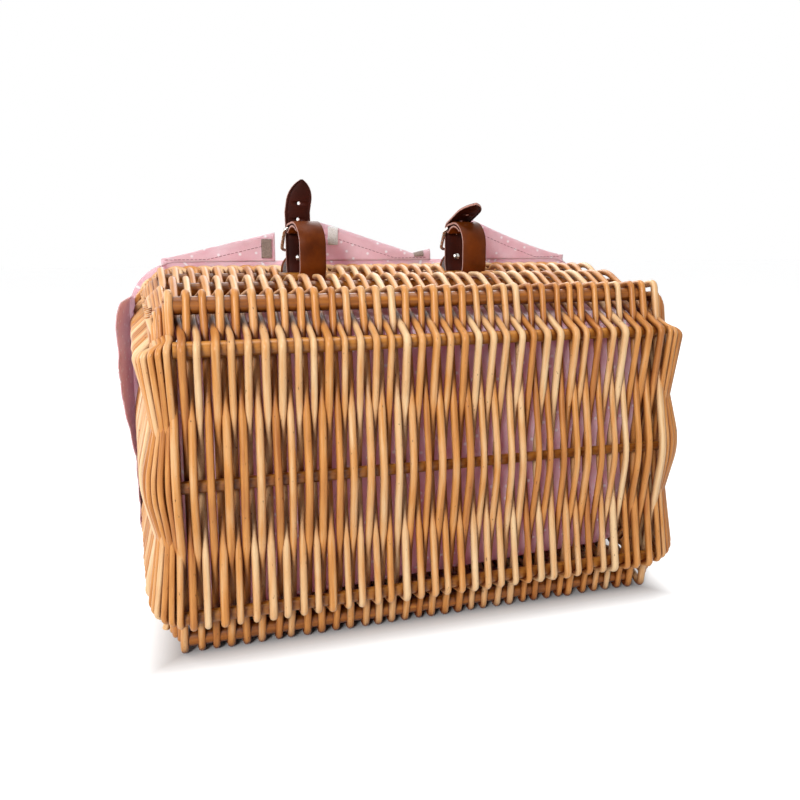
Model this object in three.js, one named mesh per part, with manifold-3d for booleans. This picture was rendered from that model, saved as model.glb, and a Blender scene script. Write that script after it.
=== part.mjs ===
// A wicker handlebar basket, lying on its front wall with its floor turned to the viewer.
// Millimetres, +Z up. Inside the basket group, x runs along its width, y from its floor to its mouth
// and z from its front wall to its back wall. The group is then tipped so that the flared front wall
// lies flat on z = 0.
import * as THREE from "three";
import { mergeVertices } from "three/addons/utils/BufferGeometryUtils.js";
import Module from "manifold-3d";

const wasm = await Module();
wasm.setup();

// Woven body, measured outside the weave at the floor
const FLOOR_WIDTH = 375;
const FLOOR_DEPTH = 241;
const WALL_HEIGHT = 200;
const FLARE = THREE.MathUtils.degToRad(1.5);
const END_FLARE = THREE.MathUtils.degToRad(7.5);
const CORNER_RADIUS = 42;
const EDGE_RADIUS = 30;
const RIM_HEIGHT = 14;
const RIM_CHAMFER = 3;

// Willow: thick bars and stakes, and pairs of thinner rods that part at them and meet half-way between
const ROD_DIAMETER = 5.5;
const BAR_DIAMETER = 10;
const BAR_TAPER = 1.6;
const BAR_END_INSET = 18;
const CORNER_REACH = 13;
const FLOOR_BAR_SPACING = 86;
const LOWER_BAR_HEIGHT = 20;
const MIDDLE_BAR_HEIGHT = 98;
const UPPER_BAR_DROP = 37;
const STAKE_DIAMETER = 8;
const STAKE_SPACING = 68;
const PAIR_PITCH = 12;
const PAIR_MEETING = 12;
const KNUCKLE_FLAT = 10;
const KNUCKLE_REACH = 20;
const END_REACH = 14;

// Cloth lining, its folded cuff and its flaps
const CLOTH = 1.6;
const CUFF_DROP = 48;
const CUFF_LIP = 12;
const CUFF_SWING = 8;
const CUFF_RIPPLE = 4;
const CUFF_RIPPLES = 6;
const FLAP_BILLOW = 6;
const LEFT_FLAP_HEIGHTS = { from: 5, to: 25 };
const MIDDLE_FLAP_HEIGHTS = { from: 35, to: 22 };
const RIGHT_FLAP_HEIGHTS = { from: 38, to: 6 };
const TAPE_WIDTH = 9;
const TAPE_LENGTH = 17;
const TAPE_THICKNESS = 1;
const TAPE_MARGIN = 3;

// Leather straps
const STRAP_SPACING = 140;
const LEFT_TWIST = THREE.MathUtils.degToRad(13);
const RIGHT_TWIST = THREE.MathUtils.degToRad(8);
const LEFT_LEAN = THREE.MathUtils.degToRad(4);
const RIGHT_LEAN = THREE.MathUtils.degToRad(66);
const STRAP_WIDTH = 22;
const STRAP_THICKNESS = 2.4;
const LOOP_WIDTH = 40;
const LOOP_STRAIGHT = 15;
const TAIL_LENGTH = 41;
const HOLE_DIAMETER = 4;
const HOLE_PITCH = 13.5;
const FIRST_HOLE = 20;
const TAB_WIDTH = 30;
const TAB_FOOT = 4;
const TAB_THICKNESS = 2.2;
const RIVET_HEAD_DIAMETER = 6;
const RIVET_SHANK_DIAMETER = 3;
const RIVET_HEAD_HEIGHT = 1.5;
const RIVET_RISE = 3.6;
const WINDOW_MARGIN = 7;
const WINDOW_BELOW = 37;
const WINDOW_ABOVE = 29;

// Nickel buckles
const BUCKLE_WIRE = 3;
const BUCKLE_LENGTH = 20;
const BUCKLE_SIDE_GAP = 1.2;
const EYE_WALL = 2.2;
const PRONG_DIAMETER = 2;
const PRONG_SLOT = 4.4;
const PRONG_RING_WALL = 1.4;

// Clearances
const GAP = 0.3;
const TAIL_GAP = 0.5;
const TAB_CLEARANCE = 1;

// How finely round stretches are stepped
const CORNER_STEPS = 5;
const EDGE_STEPS = 4;
const RIPPLE_STEPS = 6;
const BILLOW_STEPS = 12;
const BILLOW_ROWS = 4;
const LOOP_STEPS = 9;
const ROUND_SIDES = 10;
const WIRE_SIDES = 6;
const FRAME_CORNER_STEPS = 2;

// Values worked out from the sizes above
const WEAVE = BAR_DIAMETER + 2 * ROD_DIAMETER;
const HALF = WEAVE / 2;
const SLOPE = Math.tan(FLARE);
const END_SLOPE = Math.tan(END_FLARE);
const BAR_RADIUS = BAR_DIAMETER / 2;
const WALL_FOOT = HALF + GAP;
const RECESS = CLOTH + 2 * GAP;
const WALL_BARS = {
  lower: LOWER_BAR_HEIGHT,
  middle: MIDDLE_BAR_HEIGHT,
  upper: WALL_HEIGHT - UPPER_BAR_DROP,
};
const RIM_FOOT = WALL_HEIGHT + GAP;
const RIM_TOP = RIM_FOOT + RIM_HEIGHT;
const CUFF_LOW = RIM_TOP - CUFF_DROP;
const CUFF_TOP = RIM_TOP + GAP + CLOTH;
const SPLIT_X = FLOOR_WIDTH / 2 - CORNER_RADIUS - GAP;
const FLOOR_BAR_LENGTH = FLOOR_WIDTH - 2 * BAR_END_INSET;
const BEYOND = FLOOR_WIDTH + FLOOR_DEPTH;

const MATERIALS = {
  rod: { color: 0xd9a566, roughness: 0.55, metalness: 0 },
  bar: { color: 0xb9783c, roughness: 0.5, metalness: 0 },
  cloth: { color: 0xd9a3ab, roughness: 0.9, metalness: 0 },
  hookTape: { color: 0xe8e6e4, roughness: 0.95, metalness: 0 },
  leather: { color: 0x6b3216, roughness: 0.45, metalness: 0 },
  suede: { color: 0x8a7f7c, roughness: 0.9, metalness: 0 },
  nickel: { color: 0xc9c7c2, roughness: 0.25, metalness: 1 },
};

const basket = new THREE.Group();

// Adds a named piece with a material of its own to a group.
function addPiece(name, geometry, look, group = basket) {
  const mesh = new THREE.Mesh(geometry, new THREE.MeshStandardMaterial(MATERIALS[look]));
  mesh.name = name;
  group.add(mesh);
  return mesh;
}

// Closed solids from rings, and joins and cuts between solids

// A closed surface through rings of equally many points, capped at both ends.
function loft(rings) {
  const count = rings[0].length;
  const triangles = [];
  for (let k = 0; k + 1 < rings.length; k++) {
    for (let i = 0; i < count; i++) {
      const a = k * count + i;
      const b = k * count + ((i + 1) % count);
      triangles.push(a, b, b + count, a, b + count, a + count);
    }
  }
  const last = (rings.length - 1) * count;
  for (let i = 1; i + 1 < count; i++) {
    triangles.push(0, i + 1, i, last, last + i, last + i + 1);
  }
  const geometry = new THREE.BufferGeometry().setFromPoints(rings.flat());
  geometry.setIndex(triangles);
  return geometry;
}

function toSolid(geometry) {
  const bare = new THREE.BufferGeometry();
  bare.setAttribute("position", geometry.getAttribute("position"));
  bare.setIndex(geometry.index);
  const merged = mergeVertices(bare);
  return new wasm.Manifold(
    new wasm.Mesh({
      numProp: 3,
      vertProperties: new Float32Array(merged.getAttribute("position").array),
      triVerts: new Uint32Array(merged.index.array),
    }),
  );
}

function toGeometry(solid) {
  const mesh = solid.getMesh();
  const geometry = new THREE.BufferGeometry();
  geometry.setAttribute("position", new THREE.BufferAttribute(mesh.vertProperties, mesh.numProp));
  geometry.setIndex(new THREE.BufferAttribute(mesh.triVerts, 1));
  return geometry;
}

const cutAway = (solid, ...tools) => tools.reduce((left, tool) => left.subtract(tool), solid);

// A box between two corners.
function block(low, high) {
  const size = high.clone().sub(low);
  const geometry = new THREE.BoxGeometry(size.x, size.y, size.z);
  geometry.translate(...low.clone().add(high).multiplyScalar(0.5).toArray());
  return toSolid(geometry);
}

// The basket's own outline

// A rounded rectangle round the basket at height y, set in from the outside of the weave. Where its
// two ends hang loose, they swing outwards by a share and ripple in even waves.
function outline(y, inset, loose) {
  const halfX = FLOOR_WIDTH / 2 + y * END_SLOPE - inset;
  const halfZ = FLOOR_DEPTH / 2 + y * SLOPE - inset;
  const radius = Math.max(CORNER_RADIUS - inset, GAP);
  const points = [];
  for (const [sideX, sideZ, start] of [[1, -1, 0], [-1, -1, 1], [-1, 1, 2], [1, 1, 3]]) {
    for (let step = 0; step <= CORNER_STEPS; step++) {
      const turn = (start + step / CORNER_STEPS) * (Math.PI / 2);
      const x = sideX * (halfX - radius) + radius * Math.cos(turn);
      const z = sideZ * (halfZ - radius) - radius * Math.sin(turn);
      points.push(new THREE.Vector3(x, y, z));
    }
    const endFollows = sideX === sideZ;
    if (loose === undefined || !endFollows) continue;
    const steps = CUFF_RIPPLES * RIPPLE_STEPS;
    for (let step = 1; step < steps; step++) {
      const swing = CUFF_SWING * Math.sin((step / steps) * Math.PI);
      const ripple = (CUFF_RIPPLE * (1 - Math.cos((step / RIPPLE_STEPS) * 2 * Math.PI))) / 2;
      const z = sideZ * (halfZ - radius) * (1 - (2 * step) / steps);
      points.push(new THREE.Vector3(sideX * (halfX + loose * (swing + ripple)), y, z));
    }
  }
  return points;
}

// How far the rounded bottom edge draws the outline in at height y.
function edgeInset(y) {
  const below = Math.max(0, EDGE_RADIUS - HALF - y);
  return EDGE_RADIUS - Math.sqrt(EDGE_RADIUS ** 2 - below ** 2);
}

// A solid of outlines given as [height, inset] or [height, inset, share of looseness].
const outlineSolid = (...levels) => toSolid(loft(levels.map((level) => outline(...level))));

// The middle of a wall's thickness at height y, from the basket's centre line.
const wallMiddle = (y) => FLOOR_DEPTH / 2 - HALF + y * SLOPE;
const endMiddle = (y) => FLOOR_WIDTH / 2 - HALF + y * END_SLOPE;

// How far along x the flat of a wall runs at height y, before the corner turns.
const flatHalf = (y) => FLOOR_WIDTH / 2 + y * END_SLOPE - CORNER_RADIUS;

// Bars and stakes

// A willow stick along x, thick at the left.
function stick(length, diameter) {
  const thick = diameter / 2;
  const geometry = new THREE.CylinderGeometry(thick - BAR_TAPER / 2, thick, length, ROUND_SIDES);
  return geometry.rotateZ(-Math.PI / 2);
}

// The square channel along x that a stick lies in, longer than the basket is wide.
function channelOf(diameter) {
  const width = diameter + 2 * GAP;
  return new THREE.BoxGeometry(BEYOND, width, width);
}

const bars = [];
for (const [side, place] of [["front", -1], ["middle", 0], ["back", 1]]) {
  bars.push({ name: `floor_bar_${side}`, length: FLOOR_BAR_LENGTH, y: 0, z: place * FLOOR_BAR_SPACING });
}
for (const [side, sign] of [["front", -1], ["back", 1]]) {
  for (const [level, y] of Object.entries(WALL_BARS)) {
    const length = 2 * (flatHalf(y) + CORNER_REACH);
    bars.push({ name: `${side}_bar_${level}`, length, y, z: sign * wallMiddle(y) });
  }
}
for (const bar of bars) {
  addPiece(bar.name, stick(bar.length, BAR_DIAMETER), "bar").position.set(0, bar.y, bar.z);
}
const barChannels = bars.map((bar) => toSolid(channelOf(BAR_DIAMETER).translate(0, bar.y, bar.z)));

const STAKE_RISE = WALL_HEIGHT - WALL_FOOT - STAKE_DIAMETER * Math.sin(END_FLARE);
const STAKE_LENGTH = STAKE_RISE / Math.cos(END_FLARE);
const stakeMiddleY = (WALL_HEIGHT + WALL_FOOT) / 2;

// Stands a stick of the end walls up in its place, leaning out with the flare.
function standStake(object, side, place) {
  object.rotation.set(0, 0, Math.PI / 2 - side * END_FLARE);
  object.position.set(side * endMiddle(stakeMiddleY), stakeMiddleY, place * STAKE_SPACING);
  object.updateMatrix();
  return object;
}

const stakeChannels = { left: [], right: [] };
for (const [side, sign] of [["left", -1], ["right", 1]]) {
  for (const [level, place] of [["front", -1], ["middle", 0], ["back", 1]]) {
    const stake = addPiece(`${side}_stake_${level}`, stick(STAKE_LENGTH, STAKE_DIAMETER), "bar");
    standStake(stake, sign, place);
    stakeChannels[side].push(toSolid(channelOf(STAKE_DIAMETER).applyMatrix4(stake.matrix)));
  }
}

// Woven fields: floor, front, back and the two ends with their corners

// A straight solid between two depths, whose outline is given as pairs of numbers that place() puts in space.
function prism(corners, from, to, place) {
  return toSolid(loft([from, to].map((depth) => corners.map(([a, b]) => place(a, b, depth)))));
}

// The outline of the dip between two neighbouring sticks, where the rods on a face of height 0 cross.
function dipOutline(from, to, stickRadius) {
  const depth = stickRadius + ROD_DIAMETER / 2;
  const start = from + KNUCKLE_FLAT / 2;
  const end = to - KNUCKLE_FLAT / 2;
  return [[start, 0], [(from + to) / 2, -depth], [end, 0], [end, HALF], [start, HALF]];
}

// The outline of an opening between two pairs of rods, which part at a stick and meet half-way to the next.
function openingOutline(across, stick, low, high) {
  const half = (PAIR_PITCH - ROD_DIAMETER) / 2;
  return [[across, low], [across + half, stick], [across, high], [across - half, stick]];
}

const floorLevels = [];
for (let step = 0; step <= EDGE_STEPS; step++) {
  const y = -HALF + WEAVE * (step / EDGE_STEPS) ** 2;
  floorLevels.push([y, edgeInset(y)]);
}
const floorCuts = [];
const floorReach = (FLOOR_BAR_SPACING - PAIR_MEETING) / 2;
const floorGaps = Math.floor((FLOOR_WIDTH / 2 - EDGE_RADIUS) / PAIR_PITCH);
const underFloor = (z, height, x) => new THREE.Vector3(x, -HALF - height, z);
const throughFloor = (x, z, y) => new THREE.Vector3(x, y, z);
for (const from of [-FLOOR_BAR_SPACING, 0]) {
  floorCuts.push(prism(dipOutline(from, from + FLOOR_BAR_SPACING, BAR_RADIUS), -BEYOND, BEYOND, underFloor));
}
for (let gap = -floorGaps; gap <= floorGaps; gap++) {
  for (const side of [-1, 0, 1]) {
    const bar = side * FLOOR_BAR_SPACING;
    const low = bar - (side < 0 ? KNUCKLE_REACH : floorReach);
    const high = bar + (side > 0 ? KNUCKLE_REACH : floorReach);
    floorCuts.push(prism(openingOutline(gap * PAIR_PITCH, bar, low, high), WEAVE, -WEAVE, throughFloor));
  }
}
const floorSlab = outlineSolid(...floorLevels);
addPiece("floor_weave", toGeometry(cutAway(floorSlab, ...floorCuts, ...barChannels)), "rod");

const wallRing = cutAway(
  outlineSolid(
    [WALL_FOOT, edgeInset(WALL_FOOT)],
    [Math.max(WALL_FOOT + GAP, EDGE_RADIUS - HALF), 0],
    [CUFF_LOW - GAP, 0],
    [CUFF_LOW - GAP / 2, RECESS],
    [WALL_HEIGHT, RECESS],
  ),
  outlineSolid([WALL_FOOT - GAP, WEAVE], [WALL_HEIGHT + GAP, WEAVE]),
  ...barChannels,
);

// The part of the wall ring between two places along x, on the front (-1), the back (1) or both sides (0).
function wallPart(fromX, toX, side) {
  const low = new THREE.Vector3(fromX, -BEYOND, side > 0 ? 0 : -BEYOND);
  const high = new THREE.Vector3(toX, BEYOND, side < 0 ? 0 : BEYOND);
  return wallRing.intersect(block(low, high));
}

// How far a rod that leaves the floor at x has fanned out at height y.
const fanOut = (x, y) => x * (1 + (y * END_SLOPE) / (FLOOR_WIDTH / 2));

const barHeights = Object.values(WALL_BARS);

// The dips between the bars of the front (-1) or back (1) wall.
function wallDips(side) {
  const outside = (y, height, x) => new THREE.Vector3(x, y, side * (FLOOR_DEPTH / 2 + y * SLOPE + height));
  return barHeights.slice(1).map((bar, i) => {
    const corners = dipOutline(barHeights[i], bar, BAR_RADIUS);
    return prism(corners, -side * BEYOND, side * BEYOND, outside);
  });
}

// The openings between the pairs of rods at each bar of the back wall.
function backOpenings() {
  const through = (x, y, z) => new THREE.Vector3(fanOut(x, y), y, z);
  const gaps = Math.floor((SPLIT_X - PAIR_PITCH) / fanOut(PAIR_PITCH, WALL_HEIGHT));
  const stops = [-WALL_BARS.lower, ...barHeights, 2 * WALL_HEIGHT - WALL_BARS.upper];
  const openings = [];
  barHeights.forEach((bar, i) => {
    const low = (stops[i] + bar + PAIR_MEETING) / 2;
    const high = (bar + stops[i + 2] - PAIR_MEETING) / 2;
    for (let gap = -gaps; gap <= gaps; gap++) {
      openings.push(prism(openingOutline(gap * PAIR_PITCH, bar, low, high), 0, BEYOND, through));
    }
  });
  return openings;
}

// What the weave leaves open in the left (-1) or right (1) end wall.
function endCuts(side) {
  const outside = (z, height, y) =>
    new THREE.Vector3(side * (FLOOR_WIDTH / 2 + y * END_SLOPE + height), y, z);
  const through = (y, z, x) => new THREE.Vector3(x, y, z);
  const inside = Math.min(0, side * BEYOND);
  const reach = (STAKE_SPACING - PAIR_MEETING) / 2;
  const cuts = [];
  for (const place of [-1, 0, 1]) {
    const stake = place * STAKE_SPACING;
    const low = stake - (place < 0 ? END_REACH : reach);
    const high = stake + (place > 0 ? END_REACH : reach);
    for (let y = LOWER_BAR_HEIGHT + PAIR_PITCH; y < CUFF_LOW - PAIR_PITCH / 2; y += PAIR_PITCH) {
      cuts.push(prism(openingOutline(y, stake, low, high), inside, inside + BEYOND, through));
    }
    if (place < 1) {
      const dip = dipOutline(stake, stake + STAKE_SPACING, STAKE_DIAMETER / 2);
      cuts.push(prism(dip, -inside, inside + BEYOND, outside));
    }
  }
  return cuts;
}

const upperBar = { y: WALL_BARS.upper, z: wallMiddle(WALL_BARS.upper) };
const STRAPS = [
  { name: "left", x: -STRAP_SPACING / 2, twist: LEFT_TWIST, lean: LEFT_LEAN },
  { name: "right", x: STRAP_SPACING / 2, twist: RIGHT_TWIST, lean: RIGHT_LEAN },
];
const windowHalf = TAB_WIDTH / 2 + WINDOW_MARGIN;
const strapWindows = STRAPS.map(({ x }) =>
  block(
    new THREE.Vector3(x - windowHalf, upperBar.y - WINDOW_BELOW, 0),
    new THREE.Vector3(x + windowHalf, upperBar.y + WINDOW_ABOVE, BEYOND),
  ),
);
const frontWall = cutAway(wallPart(-SPLIT_X, SPLIT_X, -1), ...wallDips(-1));
const backSlab = wallPart(-SPLIT_X, SPLIT_X, 1);
const backWall = cutAway(backSlab, ...wallDips(1), ...backOpenings(), ...strapWindows);
const leftEnd = cutAway(wallPart(-BEYOND, -SPLIT_X - GAP, 0), ...endCuts(-1), ...stakeChannels.left);
const rightEnd = cutAway(wallPart(SPLIT_X + GAP, BEYOND, 0), ...endCuts(1), ...stakeChannels.right);
addPiece("front_weave", toGeometry(frontWall), "rod");
addPiece("back_weave", toGeometry(backWall), "rod");
addPiece("left_end_weave", toGeometry(leftEnd), "rod");
addPiece("right_end_weave", toGeometry(rightEnd), "rod");

// The plaited border on top of the walls
const rim = cutAway(
  outlineSolid(
    [RIM_FOOT, RECESS + RIM_CHAMFER],
    [RIM_FOOT + RIM_CHAMFER, RECESS],
    [RIM_TOP - RIM_CHAMFER, RECESS],
    [RIM_TOP, RECESS + RIM_CHAMFER],
  ),
  outlineSolid([RIM_FOOT - GAP, WEAVE], [RIM_TOP + GAP, WEAVE]),
);
addPiece("rim_border", toGeometry(rim), "rod");

// Lining: floor panel, wall panel and the cuff folded out over the rim

const liningOut = WEAVE + GAP;
const liningIn = liningOut + CLOTH;
const liningFoot = WALL_FOOT + CLOTH + GAP;
const liningTop = RIM_TOP - CUFF_LIP - GAP;
const liningFloor = outlineSolid([WALL_FOOT, liningOut], [WALL_FOOT + CLOTH, liningOut]);
addPiece("lining_floor", toGeometry(liningFloor), "cloth");
const liningWalls = cutAway(
  outlineSolid([liningFoot, liningOut], [liningTop, liningOut]),
  outlineSolid([liningFoot - GAP, liningIn], [liningTop + GAP, liningIn]),
);
addPiece("lining_walls", toGeometry(liningWalls), "cloth");

const cuffRing = cutAway(
  cutAway(
    outlineSolid([CUFF_LOW, GAP, 1], [CUFF_TOP, GAP, 0]),
    outlineSolid([CUFF_LOW - GAP, GAP + CLOTH, 1], [RIM_TOP + GAP, GAP + CLOTH, 0]),
  ).add(outlineSolid([RIM_TOP - CUFF_LIP, liningOut], [CUFF_TOP, liningOut])),
  outlineSolid([RIM_TOP - CUFF_LIP - GAP, liningIn], [CUFF_TOP + GAP, liningIn]),
);

// Along the back the cuff is slit into flaps, which turn on the outer edge of its lip.
const backFace = FLOOR_DEPTH / 2 + RIM_TOP * SLOPE - RECESS;
const hinge = new THREE.Vector3(
  0,
  RIM_TOP + GAP + CLOTH / 2,
  backFace + GAP + TAPE_THICKNESS + GAP + CLOTH / 2,
);
const flapEnd = flatHalf(RIM_TOP);
const flapRoom = block(
  new THREE.Vector3(-flapEnd, -BEYOND, hinge.z - Math.SQRT1_2 * CLOTH - GAP),
  new THREE.Vector3(flapEnd, BEYOND, BEYOND),
);
const backDrop = block(
  new THREE.Vector3(-flapEnd, -BEYOND, FLOOR_DEPTH / 2 - HALF),
  new THREE.Vector3(flapEnd, RIM_TOP + GAP, BEYOND),
);
addPiece("cuff_skirt", toGeometry(cutAway(cuffRing, flapRoom, backDrop)), "cloth");

// Flaps that stand up behind the straps

const FLAPS = [
  { name: "left", from: GAP - flapEnd, to: STRAPS[0].x - windowHalf, heights: LEFT_FLAP_HEIGHTS },
  {
    name: "middle",
    from: STRAPS[0].x + windowHalf,
    to: STRAPS[1].x - windowHalf,
    heights: MIDDLE_FLAP_HEIGHTS,
  },
  { name: "right", from: STRAPS[1].x + windowHalf, to: flapEnd - GAP, heights: RIGHT_FLAP_HEIGHTS },
];

// A flat plate in x and z, its middle thickness on y = 0.
function plate(corners, thickness) {
  const shape = new THREE.Shape(corners.map(([x, z]) => new THREE.Vector2(x, z)));
  const geometry = new THREE.ExtrudeGeometry(shape, { depth: thickness, bevelEnabled: false });
  return geometry.rotateX(Math.PI / 2).translate(0, thickness / 2, 0);
}

// The height of a flap's sloping top edge at a place along x.
function flapTop(flap, x) {
  const share = (x - flap.from) / (flap.to - flap.from);
  return flap.heights.from + share * (flap.heights.to - flap.heights.from);
}

// A flap as a cloth sheet that billows towards the mouth between its flat edges.
function flapGeometry(flap) {
  const flat = TAPE_MARGIN + TAPE_WIDTH + GAP;
  const stops = [flap.from];
  for (let step = 0; step <= BILLOW_STEPS; step++) {
    stops.push(flap.from + flat + ((flap.to - flap.from - 2 * flat) * step) / BILLOW_STEPS);
  }
  stops.push(flap.to);
  const rings = stops.map((x, i) => {
    const share = Math.min(Math.max((i - 1) / BILLOW_STEPS, 0), 1);
    const swell = FLAP_BILLOW * Math.sin(share * Math.PI) ** 2;
    const top = flapTop(flap, x);
    const near = [];
    const far = [];
    for (let row = 0; row <= BILLOW_ROWS; row++) {
      const rise = row / BILLOW_ROWS;
      const z = -CLOTH / 2 + rise * (top + CLOTH / 2);
      const y = swell * rise ** 2;
      near.push(new THREE.Vector3(x, y - CLOTH / 2, z));
      far.unshift(new THREE.Vector3(x, y + CLOTH / 2, z));
    }
    return [...near, ...far].reverse();
  });
  return loft(rings);
}
for (const flap of FLAPS) {
  addPiece(`${flap.name}_flap`, flapGeometry(flap), "cloth").position.copy(hinge);
}

// A strip of hook-and-loop tape on the viewer's side of a flap, beside one of its strap edges.
function addTape(name, flap, edge, inward) {
  const near = edge + inward * TAPE_MARGIN;
  const far = near + inward * TAPE_WIDTH;
  const [left, right] = [Math.min(near, far), Math.max(near, far)];
  const top = Math.min(flapTop(flap, left), flapTop(flap, right)) - TAPE_MARGIN;
  const bottom = top - TAPE_LENGTH;
  const corners = [[left, bottom], [right, bottom], [right, top], [left, top]];
  const tape = addPiece(name, plate(corners, TAPE_THICKNESS), "hookTape");
  tape.position.copy(hinge).y -= (CLOTH + TAPE_THICKNESS) / 2 + GAP;
}
const [leftFlap, middleFlap, rightFlap] = FLAPS;
addTape("left_flap_loop_tape", leftFlap, leftFlap.to, -1);
addTape("middle_flap_hook_tape", middleFlap, middleFlap.from, 1);
addTape("middle_flap_loop_tape", middleFlap, middleFlap.to, -1);
addTape("right_flap_hook_tape", rightFlap, rightFlap.from, 1);

// Straps: each loops round the upper back bar, closes at its buckle and leaves its tail free

const loopRadius = (LOOP_WIDTH - STRAP_THICKNESS) / 2;
const loopFoot = loopRadius - STRAP_THICKNESS / 2 - BAR_RADIUS - GAP;
const loopHead = loopFoot + LOOP_STRAIGHT;
const eyeHole = BUCKLE_WIRE / 2 + GAP;
const eyeRadius = eyeHole + EYE_WALL;
const tailBend = eyeRadius + TAIL_GAP + STRAP_THICKNESS / 2;
const eye = new THREE.Vector2(loopRadius - tailBend, 0);
eye.y = loopHead + Math.sqrt(loopRadius ** 2 - eye.x ** 2);
const frontBar = new THREE.Vector2(loopRadius + STRAP_THICKNESS / 2 + GAP + BUCKLE_WIRE / 2, 0);
frontBar.y = eye.y - Math.sqrt(BUCKLE_LENGTH ** 2 - (frontBar.x - eye.x) ** 2);
const rivetHeight = loopFoot + RIVET_RISE;
const tabTop = frontBar.y - BUCKLE_WIRE / 2 - TAB_CLEARANCE;

// Points on an arc round a centre, with angles from +y towards +z.
function arc(centre, radius, from, to, steps) {
  const points = [];
  for (let step = 0; step <= steps; step++) {
    const turn = from + ((to - from) * step) / steps;
    points.push(new THREE.Vector2(centre.x + radius * Math.cos(turn), centre.y + radius * Math.sin(turn)));
  }
  return points;
}

// The strap's middle line in its own y and z: from the buckle's eye over the top, under the bar
// and up to the tip.
function strapLine(lean) {
  const eyeTurn = Math.atan2(eye.y - loopHead, eye.x);
  const over = arc(new THREE.Vector2(0, loopHead), loopRadius, eyeTurn, Math.PI, LOOP_STEPS);
  const under = arc(new THREE.Vector2(0, loopFoot), loopRadius, Math.PI, 2 * Math.PI, LOOP_STEPS);
  const bend = arc(eye, tailBend, 0, lean, LOOP_STEPS / 3);
  const start = bend[bend.length - 1];
  const ahead = new THREE.Vector2(-Math.sin(lean), Math.cos(lean));
  const tip = [];
  for (let step = 0; step <= CORNER_STEPS; step++) {
    const turn = (step / CORNER_STEPS) * (Math.PI / 2);
    const along = TAIL_LENGTH - STRAP_WIDTH / 2 + (STRAP_WIDTH / 2) * Math.sin(turn);
    tip.push(start.clone().addScaledVector(ahead, along));
  }
  return { points: [...over, ...under, ...bend, ...tip], tipFrom: tip.length, start, ahead };
}

// A strip of leather along a line in y and z, whose last points narrow to a round tip.
function strip({ points, tipFrom }) {
  const rings = points.map((point, i) => {
    const before = points[Math.max(i - 1, 0)];
    const after = points[Math.min(i + 1, points.length - 1)];
    const along = after.clone().sub(before).normalize();
    const side = new THREE.Vector2(-along.y, along.x).multiplyScalar(STRAP_THICKNESS / 2);
    const rounding = Math.max(0, (i - (points.length - tipFrom)) / CORNER_STEPS);
    const half = Math.max(STRAP_THICKNESS, (STRAP_WIDTH / 2) * Math.cos((rounding * Math.PI) / 2));
    const corner = (x, sign) => new THREE.Vector3(x, point.x + sign * side.x, point.y + sign * side.y);
    return [corner(-half, -1), corner(-half, 1), corner(half, 1), corner(half, -1)];
  });
  return toSolid(loft(rings));
}

// A round rod along x.
function roundRod(radius, length, centre) {
  const geometry = new THREE.CylinderGeometry(radius, radius, length, ROUND_SIDES);
  geometry.rotateZ(Math.PI / 2).translate(0, centre.x, centre.y);
  return toSolid(geometry);
}

// A round hole through the strap, square to a direction along it.
function punch(diameter, centre, along) {
  const geometry = new THREE.CylinderGeometry(diameter / 2, diameter / 2, LOOP_WIDTH / 2, ROUND_SIDES);
  geometry.rotateX(Math.atan2(along.y, along.x) - Math.PI / 2);
  geometry.translate(0, centre.x, centre.y);
  return toSolid(geometry);
}

function strapSolid(lean) {
  const line = strapLine(lean);
  const tools = [roundRod(eyeHole, 2 * STRAP_WIDTH, eye)];
  const slotLow = new THREE.Vector3(-PRONG_SLOT / 2, eye.x - eyeRadius - GAP, eye.y - eyeRadius - GAP);
  const slotHigh = new THREE.Vector3(PRONG_SLOT / 2, eye.x + eyeRadius + GAP / 2, eye.y + eyeRadius + GAP);
  tools.push(block(slotLow, slotHigh));
  tools.push(
    block(
      new THREE.Vector3(-PRONG_SLOT / 2, loopRadius - STRAP_THICKNESS, frontBar.y + BUCKLE_WIRE),
      new THREE.Vector3(PRONG_SLOT / 2, LOOP_WIDTH, eye.y + PRONG_DIAMETER / 2),
    ),
  );
  for (let back = FIRST_HOLE; back < TAIL_LENGTH - HOLE_DIAMETER; back += HOLE_PITCH) {
    const place = line.start.clone().addScaledVector(line.ahead, TAIL_LENGTH - back);
    tools.push(punch(HOLE_DIAMETER, place, line.ahead));
  }
  const rivetPlace = new THREE.Vector2(loopRadius, rivetHeight);
  tools.push(punch(RIVET_SHANK_DIAMETER + 2 * GAP, rivetPlace, new THREE.Vector2(0, 1)));
  return cutAway(strip(line).add(roundRod(eyeRadius, STRAP_WIDTH, eye)), ...tools);
}

// The round-topped leather tab behind the far leg of the loop.
function tabSolid() {
  const half = TAB_WIDTH / 2;
  const shape = new THREE.Shape();
  shape.moveTo(-half, -TAB_FOOT);
  shape.lineTo(half, -TAB_FOOT);
  shape.lineTo(half, tabTop - half);
  shape.absarc(0, tabTop - half, half, 0, Math.PI, false);
  const geometry = new THREE.ExtrudeGeometry(shape, {
    depth: TAB_THICKNESS,
    bevelEnabled: false,
    curveSegments: ROUND_SIDES,
  });
  geometry.rotateX(Math.PI / 2);
  geometry.translate(0, LOOP_WIDTH / 2 + GAP + TAB_THICKNESS, 0);
  const hole = punch(
    RIVET_SHANK_DIAMETER + 2 * GAP,
    new THREE.Vector2(LOOP_WIDTH / 2, rivetHeight),
    new THREE.Vector2(0, 1),
  );
  return toSolid(geometry).subtract(hole);
}

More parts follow.
